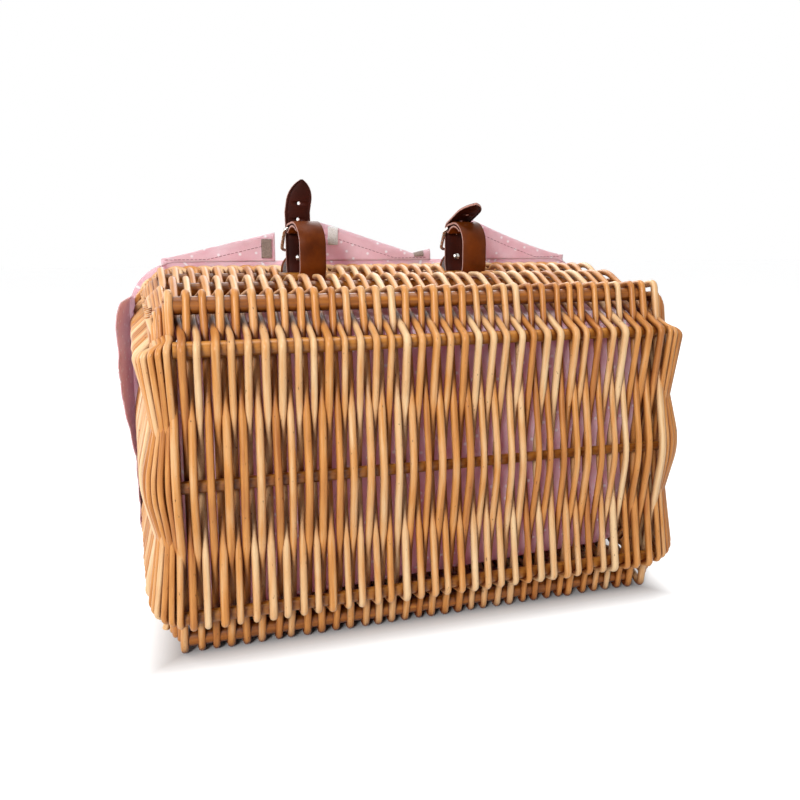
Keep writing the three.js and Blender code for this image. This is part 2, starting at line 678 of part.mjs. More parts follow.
// A rivet along y through the far leg and the tab, with a flat head on either side.
function rivetGeometry() {
  const shank = RIVET_SHANK_DIAMETER / 2;
  const head = RIVET_HEAD_DIAMETER / 2;
  const low = LOOP_WIDTH / 2 - STRAP_THICKNESS - GAP;
  const high = LOOP_WIDTH / 2 + TAB_THICKNESS + 2 * GAP;
  const profile = [
    [0, low - RIVET_HEAD_HEIGHT],
    [head, low - RIVET_HEAD_HEIGHT],
    [head, low],
    [shank, low],
    [shank, high],
    [head, high],
    [head, high + RIVET_HEAD_HEIGHT],
    [0, high + RIVET_HEAD_HEIGHT],
  ];
  return new THREE.LatheGeometry(profile.map(([r, y]) => new THREE.Vector2(r, y)), ROUND_SIDES);
}

// Buckle pieces, drawn hanging from their pivot: the frame's rear bar lies along x at the origin

const frameHalfWidth = (STRAP_WIDTH + BUCKLE_WIRE) / 2 + BUCKLE_SIDE_GAP;

// A closed wire along a rounded rectangle in x and z.
function frameGeometry() {
  const turnRadius = BUCKLE_WIRE;
  const path = [];
  const corners = [
    [frameHalfWidth, 0, 0],
    [-frameHalfWidth, 0, 1],
    [-frameHalfWidth, -BUCKLE_LENGTH, 2],
    [frameHalfWidth, -BUCKLE_LENGTH, 3],
  ];
  for (const [x, z, start] of corners) {
    for (let step = 0; step <= FRAME_CORNER_STEPS; step++) {
      const turn = (start + step / FRAME_CORNER_STEPS) * (Math.PI / 2);
      const out = new THREE.Vector3(Math.cos(turn), 0, Math.sin(turn));
      const towardsMiddle = z < 0 ? turnRadius : -turnRadius;
      const centre = new THREE.Vector3(x - Math.sign(x) * turnRadius, 0, z + towardsMiddle);
      path.push({ out, place: centre.addScaledVector(out, turnRadius) });
    }
  }
  const points = path.flatMap(({ out, place }) =>
    Array.from({ length: WIRE_SIDES }, (_, side) => {
      const turn = (side / WIRE_SIDES) * 2 * Math.PI;
      const point = place.clone().addScaledVector(out, (BUCKLE_WIRE / 2) * Math.cos(turn));
      return point.add(new THREE.Vector3(0, (BUCKLE_WIRE / 2) * Math.sin(turn), 0));
    }),
  );
  const triangles = [];
  for (let k = 0; k < path.length; k++) {
    const next = ((k + 1) % path.length) * WIRE_SIDES;
    for (let i = 0; i < WIRE_SIDES; i++) {
      const j = (i + 1) % WIRE_SIDES;
      const here = k * WIRE_SIDES;
      triangles.push(here + i, here + j, next + j, here + i, next + j, next + i);
    }
  }
  return new THREE.BufferGeometry().setFromPoints(points).setIndex(triangles);
}

// The prong: a ring round the rear bar and a pin that lies on the front bar.
function prongSolid() {
  const width = PRONG_SLOT - 2 * GAP;
  const inside = BUCKLE_WIRE / 2 + GAP;
  const origin = new THREE.Vector2(0, 0);
  const pinLength = BUCKLE_LENGTH + BUCKLE_WIRE / 2;
  const pin = new THREE.CylinderGeometry(PRONG_DIAMETER / 2, PRONG_DIAMETER / 2, pinLength, WIRE_SIDES);
  pin.rotateX(Math.PI / 2).translate(0, inside + PRONG_DIAMETER / 2, -pinLength / 2);
  const ring = roundRod(inside + PRONG_RING_WALL, width, origin).add(toSolid(pin));
  return ring.subtract(roundRod(inside, 2 * width, origin));
}

const frameTilt = Math.atan2(frontBar.x - eye.x, eye.y - frontBar.y);
for (const { name, x, twist, lean } of STRAPS) {
  const strap = new THREE.Group();
  strap.position.set(x, upperBar.y, upperBar.z);
  strap.rotation.z = twist;
  basket.add(strap);
  addPiece(`${name}_strap`, toGeometry(strapSolid(lean)), "leather", strap);
  addPiece(`${name}_strap_tab`, toGeometry(tabSolid()), "suede", strap);
  addPiece(`${name}_strap_rivet`, rivetGeometry(), "nickel", strap).position.z = rivetHeight;
  const frame = addPiece(`${name}_buckle_frame`, frameGeometry(), "nickel", strap);
  const prong = addPiece(`${name}_buckle_prong`, toGeometry(prongSolid()), "nickel", strap);
  for (const piece of [frame, prong]) {
    piece.position.set(0, eye.x, eye.y);
    piece.rotation.x = frameTilt;
  }
}

// Tips the basket onto its front wall and puts the origin under the middle of its box
const part = new THREE.Group();
part.add(basket);
basket.rotation.x = FLARE;
part.updateMatrixWorld(true);
const box = new THREE.Box3().setFromObject(part, true);
basket.position.set(-(box.min.x + box.max.x) / 2, -(box.min.y + box.max.y) / 2, -box.min.z);

export default part;
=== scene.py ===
"""Dresses the wicker handlebar basket: willow rods, cloth lining, leather straps and nickel buckles."""
import math
import random
from collections import namedtuple

import bpy
from mathutils import Matrix, Vector, noise

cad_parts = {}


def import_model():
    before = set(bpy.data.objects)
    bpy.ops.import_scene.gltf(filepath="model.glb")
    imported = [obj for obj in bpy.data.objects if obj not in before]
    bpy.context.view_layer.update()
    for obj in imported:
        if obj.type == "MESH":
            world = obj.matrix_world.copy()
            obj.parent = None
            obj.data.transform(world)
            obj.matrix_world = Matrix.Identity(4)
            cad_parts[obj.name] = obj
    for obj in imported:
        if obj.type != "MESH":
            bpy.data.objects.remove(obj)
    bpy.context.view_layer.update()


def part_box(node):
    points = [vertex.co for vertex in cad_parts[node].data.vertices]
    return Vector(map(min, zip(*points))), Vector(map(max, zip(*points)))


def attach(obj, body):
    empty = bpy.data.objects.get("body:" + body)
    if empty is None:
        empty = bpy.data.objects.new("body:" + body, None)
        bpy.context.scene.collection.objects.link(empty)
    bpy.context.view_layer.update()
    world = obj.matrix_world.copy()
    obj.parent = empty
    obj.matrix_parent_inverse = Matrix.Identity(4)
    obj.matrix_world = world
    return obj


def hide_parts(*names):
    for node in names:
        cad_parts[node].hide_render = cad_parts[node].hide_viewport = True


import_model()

# Sizes of the basket in metres, as in the part
FLOOR_WIDTH = 0.375
FLOOR_DEPTH = 0.241
WALL_HEIGHT = 0.200
FLARE = math.radians(1.5)
END_FLARE = math.radians(7.5)
CORNER_RADIUS = 0.042
WEAVE = 0.021
HALF_WEAVE = WEAVE / 2
RIM_FOOT = 0.2003
RIM_TOP = 0.2143
CUFF_LOW = 0.1663
ROD_RADIUS = 0.00250
FLOOR_BAR_SPACING = 0.086
LOWER_BAR = 0.020
MIDDLE_BAR = 0.098
UPPER_BAR = 0.163

# Body rods: two sets half a pitch apart, one outside each bar where the other is inside
BODY_COUNT = 35
BODY_PITCH = 0.0098
BODY_MIDDLE = 0.0015
BODY_DRIFT = 0.0024
DRIFT_WAVES = 60
ROD_JITTER = 0.0005
ROD_WANDER = 0.0012
WANDER_WAVES = 0.9
ROD_WIDTHS = (0.88, 1.12)
ROD_TAPER = 0.14
ROD_STEP = 0.007
BEND_STEP = 0.0015
ROD_SIDES = 10
BAR_CLEAR = 0.00775
KINK = 0.0040
FLOOR_BEND = 0.060
WALL_BEND = 0.050
ROD_END = 0.203
ROD_LEAN = 0.003
WINDOW_EDGE = 0.116
WINDOW_HALF = 0.0215

# Rods that fan round the two ends of the floor, and hoops across the end walls
FAN_COUNT = 6
FAN_FIRST = math.radians(9)
FAN_STEP = math.radians(14)
FAN_RADIUS = 0.016
FAN_PROUD = {-1: 0.003, 1: 0.007}
FAN_CLEAR = 0.0056
FAN_THIN = 0.86
FAN_TURN = 0.003
CORNER_DROP = 0.016
STAKE_DROP = 0.009
END_STAKE = FLOOR_BAR_SPACING - STAKE_DROP
CORNER_INSET = 0.003
END_WANDER = 0.0010
END_WAVES = 16
HOOP_COUNT = 18
HOOP_FIRST = 0.022
OUTER_TAIL = Vector((0.001, 0.103))
INNER_TAIL = Vector((0.012, 0.098))

# Straps and buckles
STRAP_PLACES = {"left": -0.070, "right": 0.070}
STRAP_TWISTS = {"left": math.radians(13), "right": math.radians(8)}
STRAP_LEANS = {"left": math.radians(4), "right": math.radians(66)}
TAIL_SKEWS = {"left": 0.0032, "right": 0.0}
STRAP_WIDTH = 0.022
STRAP_THICKNESS = 0.0024
LOOP_RADIUS = 0.0188
LOOP_FOOT = 0.0123
LOOP_HEAD = 0.0273
TAIL_LENGTH = 0.041
TAIL_BEND = 0.0057
TIP_LENGTH = 0.018
HOLE_RADIUS = 0.0015
HOLE_PLACES = (0.0200, 0.0335)
EYE = Vector((LOOP_RADIUS - TAIL_BEND, 0.04078))
EYE_FOLD = 0.0030
BUCKLE_WIRE = 0.0015
BUCKLE_LENGTH = 0.020
BUCKLE_HALF_WIDTH = 0.0137
BUCKLE_TILT = math.radians(25.8)
PRONG_RADIUS = 0.0010
TAB_HALF_WIDTH = 0.015
TAB_TOP = 0.0203
TAB_FOOT = 0.004
TAB_THICKNESS = 0.0022
RIVET_HEIGHT = 0.0159

random.seed(7)


def srgb(code):
    """A linear colour from a six-figure screen colour."""
    shares = [int(code[i:i + 2], 16) / 255 for i in (0, 2, 4)]
    return tuple(s / 12.92 if s <= 0.04045 else ((s + 0.055) / 1.055) ** 2.4 for s in shares) + (1.0,)


# The basket's own frame: x along its width, y from floor to mouth, z from front wall to back wall
bar_low, bar_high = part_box("floor_bar_middle")
TIPPED = Matrix.Translation((bar_low + bar_high) / 2) @ Matrix.Rotation(FLARE, 4, "X")


def place(x, y, z):
    """A point of the basket's own frame, in the world."""
    return TIPPED @ Vector((x, y, z))


def wall_middle(y):
    """How far the middle of a long wall's weave stands from the basket's middle at height y."""
    return FLOOR_DEPTH / 2 - HALF_WEAVE + y * math.tan(FLARE)


def half_width(y):
    """Half the basket's outer width at height y."""
    return FLOOR_WIDTH / 2 + y * math.tan(END_FLARE)


def half_depth(y):
    """Half the basket's outer depth from front to back at height y."""
    return FLOOR_DEPTH / 2 + y * math.tan(FLARE)


def spread(x, y):
    """How far out a rod that starts at x on the floor has spread at height y."""
    return x * half_width(max(y, 0)) / half_width(0)


# Materials

class Nodes:
    """A node tree whose nodes are added and joined in short lines."""

    def __init__(self, tree):
        self.tree = tree

    def plug(self, socket, value):
        """Joins a socket to another one, or gives it a plain value."""
        if isinstance(value, bpy.types.NodeSocket):
            self.tree.links.new(value, socket)
        else:
            socket.default_value = value

    def set(self, node, values):
        for key, value in values.items():
            self.plug(node.inputs[key.replace("_", " ")], value)

    def add(self, kind, settings=None, **values):
        node = self.tree.nodes.new("ShaderNode" + kind)
        for key, value in (settings or {}).items():
            setattr(node, key, value)
        self.set(node, values)
        return node

    def attribute(self, name, output):
        return self.add("Attribute", {"attribute_name": name}).outputs[output]

    def noise(self, vector, scale, detail=3.0, roughness=0.55):
        node = self.add("TexNoise", Vector=vector, Scale=scale, Detail=detail, Roughness=roughness)
        return node.outputs["Fac"]

    def scaled(self, vector, scale):
        return self.add("Mapping", Vector=vector, Scale=scale).outputs["Vector"]

    def ramp(self, factor, *stops):
        node = self.add("ValToRGB", Fac=factor)
        elements = node.color_ramp.elements
        while len(elements) < len(stops):
            elements.new(0.5)
        for element, (position, colour) in zip(elements, stops):
            element.position = position
            element.color = colour
        return node.outputs["Color"]

    def mix(self, factor, first, second, blend="MIX"):
        node = self.add("MixRGB", {"blend_type": blend}, Fac=factor, Color1=first, Color2=second)
        return node.outputs["Color"]

    def math(self, operation, first, second=0.0):
        node = self.add("Math", {"operation": operation})
        for socket, value in zip(node.inputs, (first, second)):
            self.plug(socket, value)
        return node.outputs["Value"]


class Shader(Nodes):
    """A material and its nodes."""

    def __init__(self, name, **values):
        self.material = bpy.data.materials.new(name)
        self.material.use_nodes = True
        super().__init__(self.material.node_tree)
        self.surface = self.tree.nodes["Principled BSDF"]
        self.set(self.surface, values)

    def place_in(self):
        return self.add("TexCoord").outputs["Object"]

    def colour(self, colour):
        self.set(self.surface, {"Base_Color": colour})

    def bump(self, height, strength, distance):
        node = self.add("Bump", Height=height, Strength=strength, Distance=distance)
        self.set(self.surface, {"Normal": node.outputs["Normal"]})


def grey(value):
    return (value, value, value, 1.0)


# How far the painted crevice shade looks for nearby surfaces
CREVICE = 0.011


def willow(name, pale, middle, deep, gloss):
    """Varnished willow: streaks along the grain, a tint for each rod, dark specks and painted shade in
    crevices.
    """
    shader = Shader(name, Roughness=gloss, Specular_IOR_Level=0.32, Coat_Weight=0.08, Coat_Roughness=0.2)
    grain = shader.attribute("grain", "Vector")
    tint = shader.attribute("tint", "Fac")
    streaks = shader.noise(shader.scaled(grain, (420, 420, 26)), 1.0, 4.0)
    patches = shader.noise(shader.scaled(grain, (60, 60, 22)), 1.0, 2.0)
    tone = shader.math("MULTIPLY", streaks, 0.45)
    tone = shader.math("ADD", tone, shader.math("MULTIPLY", patches, 0.35))
    tone = shader.math("ADD", tone, shader.math("MULTIPLY", tint, 0.30))
    colour = shader.ramp(tone, (0.28, deep), (0.50, middle), (0.74, pale))
    specks = shader.noise(shader.scaled(grain, (700, 700, 320)), 1.0, 2.0)
    speck_mask = shader.ramp(specks, (0.70, grey(0)), (0.76, grey(1)))
    colour = shader.mix(speck_mask, colour, srgb("6a3c18"))
    # Painted shade: ambient occlusion darkens the colour where rods lie close together, in place of the
    # shade in the crevices
    crevices = shader.add("AmbientOcclusion", {"samples": 6}, Distance=CREVICE).outputs["AO"]
    painted_crevice_shade = shader.ramp(crevices, (0.25, srgb("7a4420")), (0.85, grey(1)))
    colour = shader.mix(1.0, colour, painted_crevice_shade, "MULTIPLY")
    shader.colour(colour)
    shader.bump(streaks, 0.25, 0.0004)
    return shader.material


def cut_wood():
    """The rough, pale end of a cut stick."""
    shader = Shader("cut_willow", Roughness=0.8)
    place_in = shader.place_in()
    rings = shader.noise(place_in, 900.0, 3.0)
    shader.colour(shader.ramp(rings, (0.35, srgb("c79a6c")), (0.65, srgb("edcdae"))))
    shader.bump(rings, 0.4, 0.0003)
    return shader.material


def cotton(name, base, shade, dot):
    """Printed cotton: a fine weave, soft mottling and small scattered dots."""
    shader = Shader(name, Roughness=0.88, Sheen_Weight=0.25, Sheen_Roughness=0.5, Subsurface_Weight=1.0,
                    Subsurface_Radius=(1.0, 0.75, 0.8), Subsurface_Scale=0.004)
    cloth = shader.attribute("cloth", "Vector")
    mottle = shader.noise(cloth, 45.0, 4.0)
    colour = shader.ramp(mottle, (0.3, shade), (0.7, base))
    dots = shader.add("TexVoronoi", {"voronoi_dimensions": "2D"}, Vector=cloth, Scale=78.0, Randomness=0.85)
    dot_mask = shader.ramp(dots.outputs["Distance"], (0.060, grey(1)), (0.12, grey(0)))
    colour = shader.mix(dot_mask, colour, dot)
    warp = shader.add("TexWave", {"bands_direction": "X"}, Vector=cloth, Scale=420.0, Distortion=0.6)
    weft = shader.add("TexWave", {"bands_direction": "Y"}, Vector=cloth, Scale=420.0, Distortion=0.6)
    threads = shader.math("MAXIMUM", warp.outputs["Fac"], weft.outputs["Fac"])
    colour = shader.mix(0.16, colour, shader.ramp(threads, (0.2, grey(0.35)), (0.9, grey(1))), "MULTIPLY")
    shader.colour(colour)
    shader.bump(threads, 0.35, 0.0002)
    return shader.material


def leather(name, light, dark, gloss):
    """Smooth finished leather with fine pores and gentle clouding."""
    shader = Shader(name, Roughness=gloss, Specular_IOR_Level=0.12)
    place_in = shader.place_in()
    clouds = shader.noise(place_in, 55.0, 4.0)
    pores = shader.add("TexVoronoi", Vector=place_in, Scale=950.0).outputs["Distance"]
    colour = shader.ramp(clouds, (0.32, dark), (0.68, light))
    colour = shader.mix(0.25, colour, shader.ramp(pores, (0.05, grey(0.45)), (0.45, grey(1))), "MULTIPLY")
    shader.colour(colour)
    shader.bump(pores, 0.22, 0.0003)
    return shader.material


def suede(name, light, dark):
    """Raw leather: short fibres and a dry face."""
    shader = Shader(name, Roughness=0.93, Sheen_Weight=0.3)
    place_in = shader.place_in()
    fibres = shader.noise(place_in, 620.0, 5.0, 0.7)
    shader.colour(shader.ramp(fibres, (0.32, dark), (0.68, light)))
    shader.bump(fibres, 0.6, 0.0005)
    return shader.material


def nickel():
    """Polished nickel, a little worn and scratched."""
    shader = Shader("polished_nickel", Base_Color=srgb("cfccc6"), Metallic=1.0)
    place_in = shader.place_in()
    wear = shader.noise(place_in, 320.0, 4.0)
    scratches = shader.noise(shader.scaled(place_in, (1500, 260, 260)), 1.0, 2.0)
    roughness = shader.ramp(wear, (0.3, grey(0.16)), (0.75, grey(0.36)))
    shader.set(shader.surface, {"Roughness": roughness})
    shader.bump(scratches, 0.08, 0.0002)
    return shader.material


def hook_tape(name, light, dark):
    """Hook-and-loop tape: a dull face of small hooks."""
    shader = Shader(name, Roughness=0.95, Sheen_Weight=0.4)
    place_in = shader.place_in()
    hooks = shader.add("TexVoronoi", Vector=place_in, Scale=900.0).outputs["Distance"]
    shader.colour(shader.ramp(hooks, (0.1, dark), (0.5, light)))
    shader.bump(hooks, 0.7, 0.0006)
    return shader.material


MATERIALS = {
    "rod": willow("willow_rod", srgb("f8d3a2"), srgb("de9850"), srgb("a25a24"), 0.38),
    "bar": willow("willow_bar", srgb("d8933c"), srgb("a4601c"), srgb("5a2c09"), 0.34),
    "cut": cut_wood(),
    "cloth": cotton("dotted_cotton", srgb("efc4ca"), srgb("dfabb3"), srgb("f8e6e9")),
    "leather": leather("strap_leather", srgb("76360a"), srgb("542203"), 0.42),
    "strap_back": leather("strap_back", srgb("45160a"), srgb("2d0c04"), 0.54),
    "raw_edge": suede("raw_edge", srgb("d3a297"), srgb("a8705f")),
    "suede": suede("tab_flesh", srgb("9c9291"), srgb("6d6564")),
    "nickel": nickel(),
    "tape": hook_tape("hook_tape", srgb("f6f4f2"), srgb("d6d2ce")),
    "loop_tape": hook_tape("loop_tape", srgb("9c8a80"), srgb("6f6059")),
    "thread": suede("sewing_thread", srgb("a8686c"), srgb("8a4c52")),
}


# Meshes

SHARP = math.radians(48)
GRAIN_APART = 7.3


def finish_mesh(name, points, faces, materials, values=None, indices=None):
    """Makes an object of points and faces, with values on its points and a material index per face."""
    mesh = bpy.data.meshes.new(name)
    mesh.from_pydata([tuple(p) for p in points], [], faces)
    for key in materials:
        mesh.materials.append(MATERIALS[key])
    for key, numbers in (values or {}).items():
        if isinstance(numbers[0], (int, float)):
            mesh.attributes.new(key, "FLOAT", "POINT").data.foreach_set("value", numbers)
        else:
            flat = [part for number in numbers for part in number]
            mesh.attributes.new(key, "FLOAT_VECTOR", "POINT").data.foreach_set("vector", flat)
    if indices:
        mesh.polygons.foreach_set("material_index", indices)
    mesh.polygons.foreach_set("use_smooth", [True] * len(mesh.polygons))
    mesh.set_sharp_from_angle(angle=SHARP)
    mesh.update()
    piece = bpy.data.objects.new(name, mesh)
    bpy.context.scene.collection.objects.link(piece)
    return piece


def settle(piece, body, slot, *nodes):
    """Lets a piece ride on a body, in place of the solids that it stands for; the slot is not used."""
    if nodes:
        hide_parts(*nodes)
    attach(piece, body)


def tube_faces(rings, sides, first=0):
    """The faces of a tube through rings of points: its wall, ring by ring, and then its two ends."""
    faces = []
    for i in range(rings - 1):
        here = first + i * sides
        for k in range(sides):
            after = (k + 1) % sides
            faces.append((here + k, here + after, here + sides + after, here + sides + k))
    last = first + (rings - 1) * sides
    faces.append(tuple(range(first + sides - 1, first - 1, -1)))
    faces.append(tuple(range(last, last + sides)))
    return faces


def sweep_frames(path):
    """The side and up along a line, turned as little as possible."""
    frames = []
    side = None
    for i in range(len(path)):
        ahead = (path[min(i + 1, len(path) - 1)] - path[max(i - 1, 0)]).normalized()
        side = ahead.orthogonal() if side is None else side - ahead * side.dot(ahead)
        side.normalize()
        frames.append((side.copy(), ahead.cross(side)))
    return frames


class Bundle:
    """Round sticks that become one mesh, each with its own tint and a grain along its length."""

    def __init__(self):
        self.points = []
        self.faces = []
        self.indices = []
        self.tints = []
        self.grains = []
        self.count = 0

    def add(self, path, radius_at, tint, sides=ROD_SIDES):
        first = len(self.points)
        along = 0.0
        self.count += 1
        for i, (spot, (side, up)) in enumerate(zip(path, sweep_frames(path))):
            along += (spot - path[i - 1]).length if i else 0.0
            radius = radius_at(i / (len(path) - 1))
            for k in range(sides):
                across = radius * math.cos(k * math.tau / sides)
                above = radius * math.sin(k * math.tau / sides)
                self.points.append(spot + side * across + up * above)
                self.tints.append(tint)
                self.grains.append((across, above, along + GRAIN_APART * self.count))
        faces = tube_faces(len(path), sides, first)
        self.faces += faces
        self.indices += [0] * (len(faces) - 2) + [1, 1]

    def make(self, name, materials):
        values = {"tint": self.tints, "grain": self.grains}
        return finish_mesh(name, self.points, self.faces, materials, values, self.indices)


def lengths_along(points):
    """How far along a line each of its points lies."""
    lengths = [0.0]
    for before, after in zip(points, points[1:]):
        lengths.append(lengths[-1] + (after - before).length)
    return lengths


def resample(points, step):
    """Points at an even step along a line."""
    lengths = lengths_along(points)
    count = max(2, round(lengths[-1] / step))
    even = []
    k = 0
    for i in range(count + 1):
        target = lengths[-1] * i / count
        while k < len(points) - 2 and lengths[k + 1] < target:
            k += 1
        span = max(lengths[k + 1] - lengths[k], 1e-9)
        even.append(points[k].lerp(points[k + 1], (target - lengths[k]) / span))
    return even


def fill(line, step):
    """A line's own points without repeats, and more between those that are further apart than a step."""
    full = [line[0]]
    for before, after in zip(line, line[1:]):
        count = math.ceil((after - before).length / step - 1e-4)
        full += [before.lerp(after, k / count) for k in range(1, count + 1)]
    return full


def relax(points, rounds):
    """Eases a line's corners, with its ends held."""
    for _ in range(rounds):
        eased = [(a + 2 * b + c) / 4 for a, b, c in zip(points, points[1:], points[2:])]
        points = [points[0], *eased, points[-1]]
    return points


# Willow rods

# The bars that a body rod passes, from the back rim to the front rim: number, height and side
BARS = [(-1, UPPER_BAR, 1), (0, MIDDLE_BAR, 1), (1, LOWER_BAR, 1), (2, 0.0, 1), (3, 0.0, 0),
        (4, 0.0, -1), (5, LOWER_BAR, -1), (6, MIDDLE_BAR, -1), (7, UPPER_BAR, -1)]
FLOOR_BARS = (2, 3, 4)
FLOOR_MIDDLE = 3
EDGE_BARS = (1, 2, 4, 5)
DEEPER = Vector((1.0, 0.0))


def bar_centre(index, y, side):
    """A bar's middle in y and z."""
    return Vector((y, side * (FLOOR_BAR_SPACING if index in FLOOR_BARS else wall_middle(y))))


def inward(index, side):
    """The direction in y and z from a bar into the basket."""
    return DEEPER if index in FLOOR_BARS else Vector((0.0, -side))


CHAIN = [Vector((ROD_END, wall_middle(ROD_END))), *(bar_centre(*bar) for bar in BARS),
         Vector((ROD_END, -wall_middle(ROD_END)))]


def bar_count(spot):
    """Which bar a point in y and z is nearest to, with shares in between."""
    best = (1e9, 0.0)
    for i, (start, end) in enumerate(zip(CHAIN, CHAIN[1:])):
        leg = end - start
        share = min(max((spot - start).dot(leg) / leg.length_squared, 0.0), 1.0)
        best = min(best, ((start + leg * share - spot).length, i - 2 + share))
    return best[1]


def belt(pulleys):
    """The line of a taut rod in y and z round pulleys of signed radius, left out where it clears one."""
    while True:
        turns = []
        for (start, r0), (end, r1) in zip(pulleys, pulleys[1:]):
            leg = end - start
            turns.append(math.atan2(leg.y, leg.x) + math.acos((r1 - r0) / leg.length))
        line = []
        clear = None
        for i, (centre, radius) in enumerate(pulleys):
            start = turns[max(i - 1, 0)]
            sweep = (turns[min(i, len(turns) - 1)] - start + math.pi) % math.tau - math.pi
            if sweep * radius < 0:
                clear = i
                break
            steps = 1 + math.ceil(abs(sweep * radius) / BEND_STEP)
            for step in range(steps + 1):
                turn = start + sweep * step / steps
                line.append(centre - radius * Vector((math.cos(turn), math.sin(turn))))
        if clear is None:
            return line
        del pulleys[clear]


def pulley(index, odd_outside, centre, into, bend, clear):
    """A rod's bend round a bar, as a centre and a radius that is negative where the rod passes inside."""
    outside = (index % 2 == 1) == odd_outside
    shift = bend - clear if outside else clear - bend
    return centre + into * shift, bend if outside else -bend


def rod_pulleys(odd_outside, clear, floor_drop, wall_drop):
    """A rod's bends at every bar, sharp by the floor's edges; the drops bring it in at a corner."""
    pulleys = []
    for index, y, side in BARS:
        bend = KINK if index in EDGE_BARS else FLOOR_BEND if index == FLOOR_MIDDLE else WALL_BEND
        centre = bar_centre(index, y, side)
        centre.y -= side * (floor_drop if index in FLOOR_BARS else wall_drop)
        pulleys.append(pulley(index, odd_outside, centre, inward(index, side), bend, clear))
    return pulleys


def rod_line(odd_outside, window=False, clear=BAR_CLEAR, floor_drop=0.0, wall_drop=0.0):
    """A rod's line in y and z from rim to rim; at a strap's window it starts below the upper back bar."""
    pulleys = rod_pulleys(odd_outside, clear, floor_drop, wall_drop)
    lean = ROD_LEAN if odd_outside else -ROD_LEAN
    high = wall_middle(ROD_END) - wall_drop - lean
    if window:
        pulleys[0] = (Vector((WINDOW_EDGE, wall_middle(WINDOW_EDGE) - 2 * lean)), 0.0)
    else:
        pulleys.insert(0, (Vector((ROD_END, high)), 0.0))
    pulleys.append((Vector((ROD_END, -high)), 0.0))
    return fill(belt(pulleys), ROD_STEP)


def rod_radius(thick, taper=0.0):
    """A rod's radius as a function of the share of its length."""
    return lambda share: thick * (1 + taper * (share - 0.5))


def random_radius(thin=1.0):
    thick = ROD_RADIUS * thin * random.uniform(*ROD_WIDTHS)
    return rod_radius(thick, random.uniform(-ROD_TAPER, ROD_TAPER))


def body_rods():
    """Both sets of rods that run from the back wall round the floor to the front wall."""
    sets = {True: Bundle(), False: Bundle()}
    for odd_outside, bundle in sets.items():
        count = BODY_COUNT if odd_outside else BODY_COUNT - 1
        for k in range(count):
            even = BODY_MIDDLE + BODY_PITCH * (k - (count - 1) / 2)
            drift = BODY_DRIFT * noise.noise((DRIFT_WAVES * even, 0.0, 1.0))
            x = even + drift + random.uniform(-ROD_JITTER, ROD_JITTER)
            high_x = spread(x, UPPER_BAR)
            window = min(abs(high_x - strap_x) for strap_x in STRAP_PLACES.values()) < WINDOW_HALF
            seed = random.uniform(0, 100)
            path = []
            for spot in rod_line(odd_outside, window):
                wander = ROD_WANDER * noise.noise((seed, bar_count(spot) * WANDER_WAVES, 0.0))
                path.append(place(spread(x, spot.x) + wander, spot.x, spot.y))
            bundle.add(path, random_radius(), random.random())
    return sets[True], sets[False]


def hoop_line(odd_outside):
    """A rod's line across an end wall, as depth and z, round the stakes and in behind the corner rods."""
    tail = OUTER_TAIL if odd_outside else INNER_TAIL
    pulleys = [(tail, 0.0)]
    for index, spot in zip(FLOOR_BARS, (END_STAKE, 0.0, -END_STAKE)):
        bend = FLOOR_BEND if index == FLOOR_MIDDLE else KINK
        pulleys.append(pulley(index, odd_outside, Vector((0.0, spot)), DEEPER, bend, BAR_CLEAR))
    pulleys.append((Vector((tail.x, -tail.y)), 0.0))
    return fill(belt(pulleys), ROD_STEP)


def end_rod(bundle, side, base, out, line, thin, straight):
    """One rod across an end: from base straight in to a depth, and from there up the end's flare."""
    seed = random.uniform(0, 100)
    path = []
    for spot in line:
        shift = END_WANDER * noise.noise((seed, END_WAVES * spot.y, 0.0))
        inside = min(spot.x, straight)
        flat = base - out * inside + Vector((-out.y, out.x)) * shift
        flat += Vector((math.tan(END_FLARE), 1.0)) * (spot.x - inside)
        path.append(place(side * flat.x, flat.y, spot.y))
    bundle.add(path, random_radius(thin), random.random())


def fan_rods(side):
    """The close rods that turn round an end of the floor and climb both long walls at the corners."""
    bundle = Bundle()
    hub = Vector((FLOOR_WIDTH / 2 - HALF_WEAVE - FAN_RADIUS + FAN_PROUD[side], FAN_RADIUS))
    for odd_outside in (True, False):
        for k in range(FAN_COUNT):
            turn = FAN_FIRST + FAN_STEP * (k + (0.5 if odd_outside else 0.0))
            out = Vector((math.sin(turn), -math.cos(turn)))
            share = turn / (math.pi / 2)
            wall_drop = CORNER_INSET + CORNER_DROP * share
            line = rod_line(odd_outside, False, FAN_CLEAR, STAKE_DROP * share, wall_drop)
            end_rod(bundle, side, hub + out * FAN_RADIUS, out, line, FAN_THIN, FAN_TURN)
    return bundle


def hoop_rods(side):
    """Two sets of rods that run straight across an end wall."""
    bundle = Bundle()
    for odd_outside in (True, False):
        line = hoop_line(odd_outside)
        for k in range(HOOP_COUNT):
            height = HOOP_FIRST + BODY_PITCH * (k + (0.0 if odd_outside else 0.5))
            base = Vector((half_width(height) - HALF_WEAVE, height))
            end_rod(bundle, side, base, Vector((1.0, 0.0)), line, 1.0, FLOOR_WIDTH)
    return bundle


RIM_STRANDS = 4
RIM_TWISTS = 26
RIM_STEPS = 420
RIM_SIDES = 8
RIM_ROD = 0.0032
RIM_INSET = 0.0115
RIM_REACH = 0.0052
RIM_RISE = 0.0036
LEAST_RADIUS = 0.004
CORNERS = [(1, 1), (-1, 1), (-1, -1), (1, -1)]


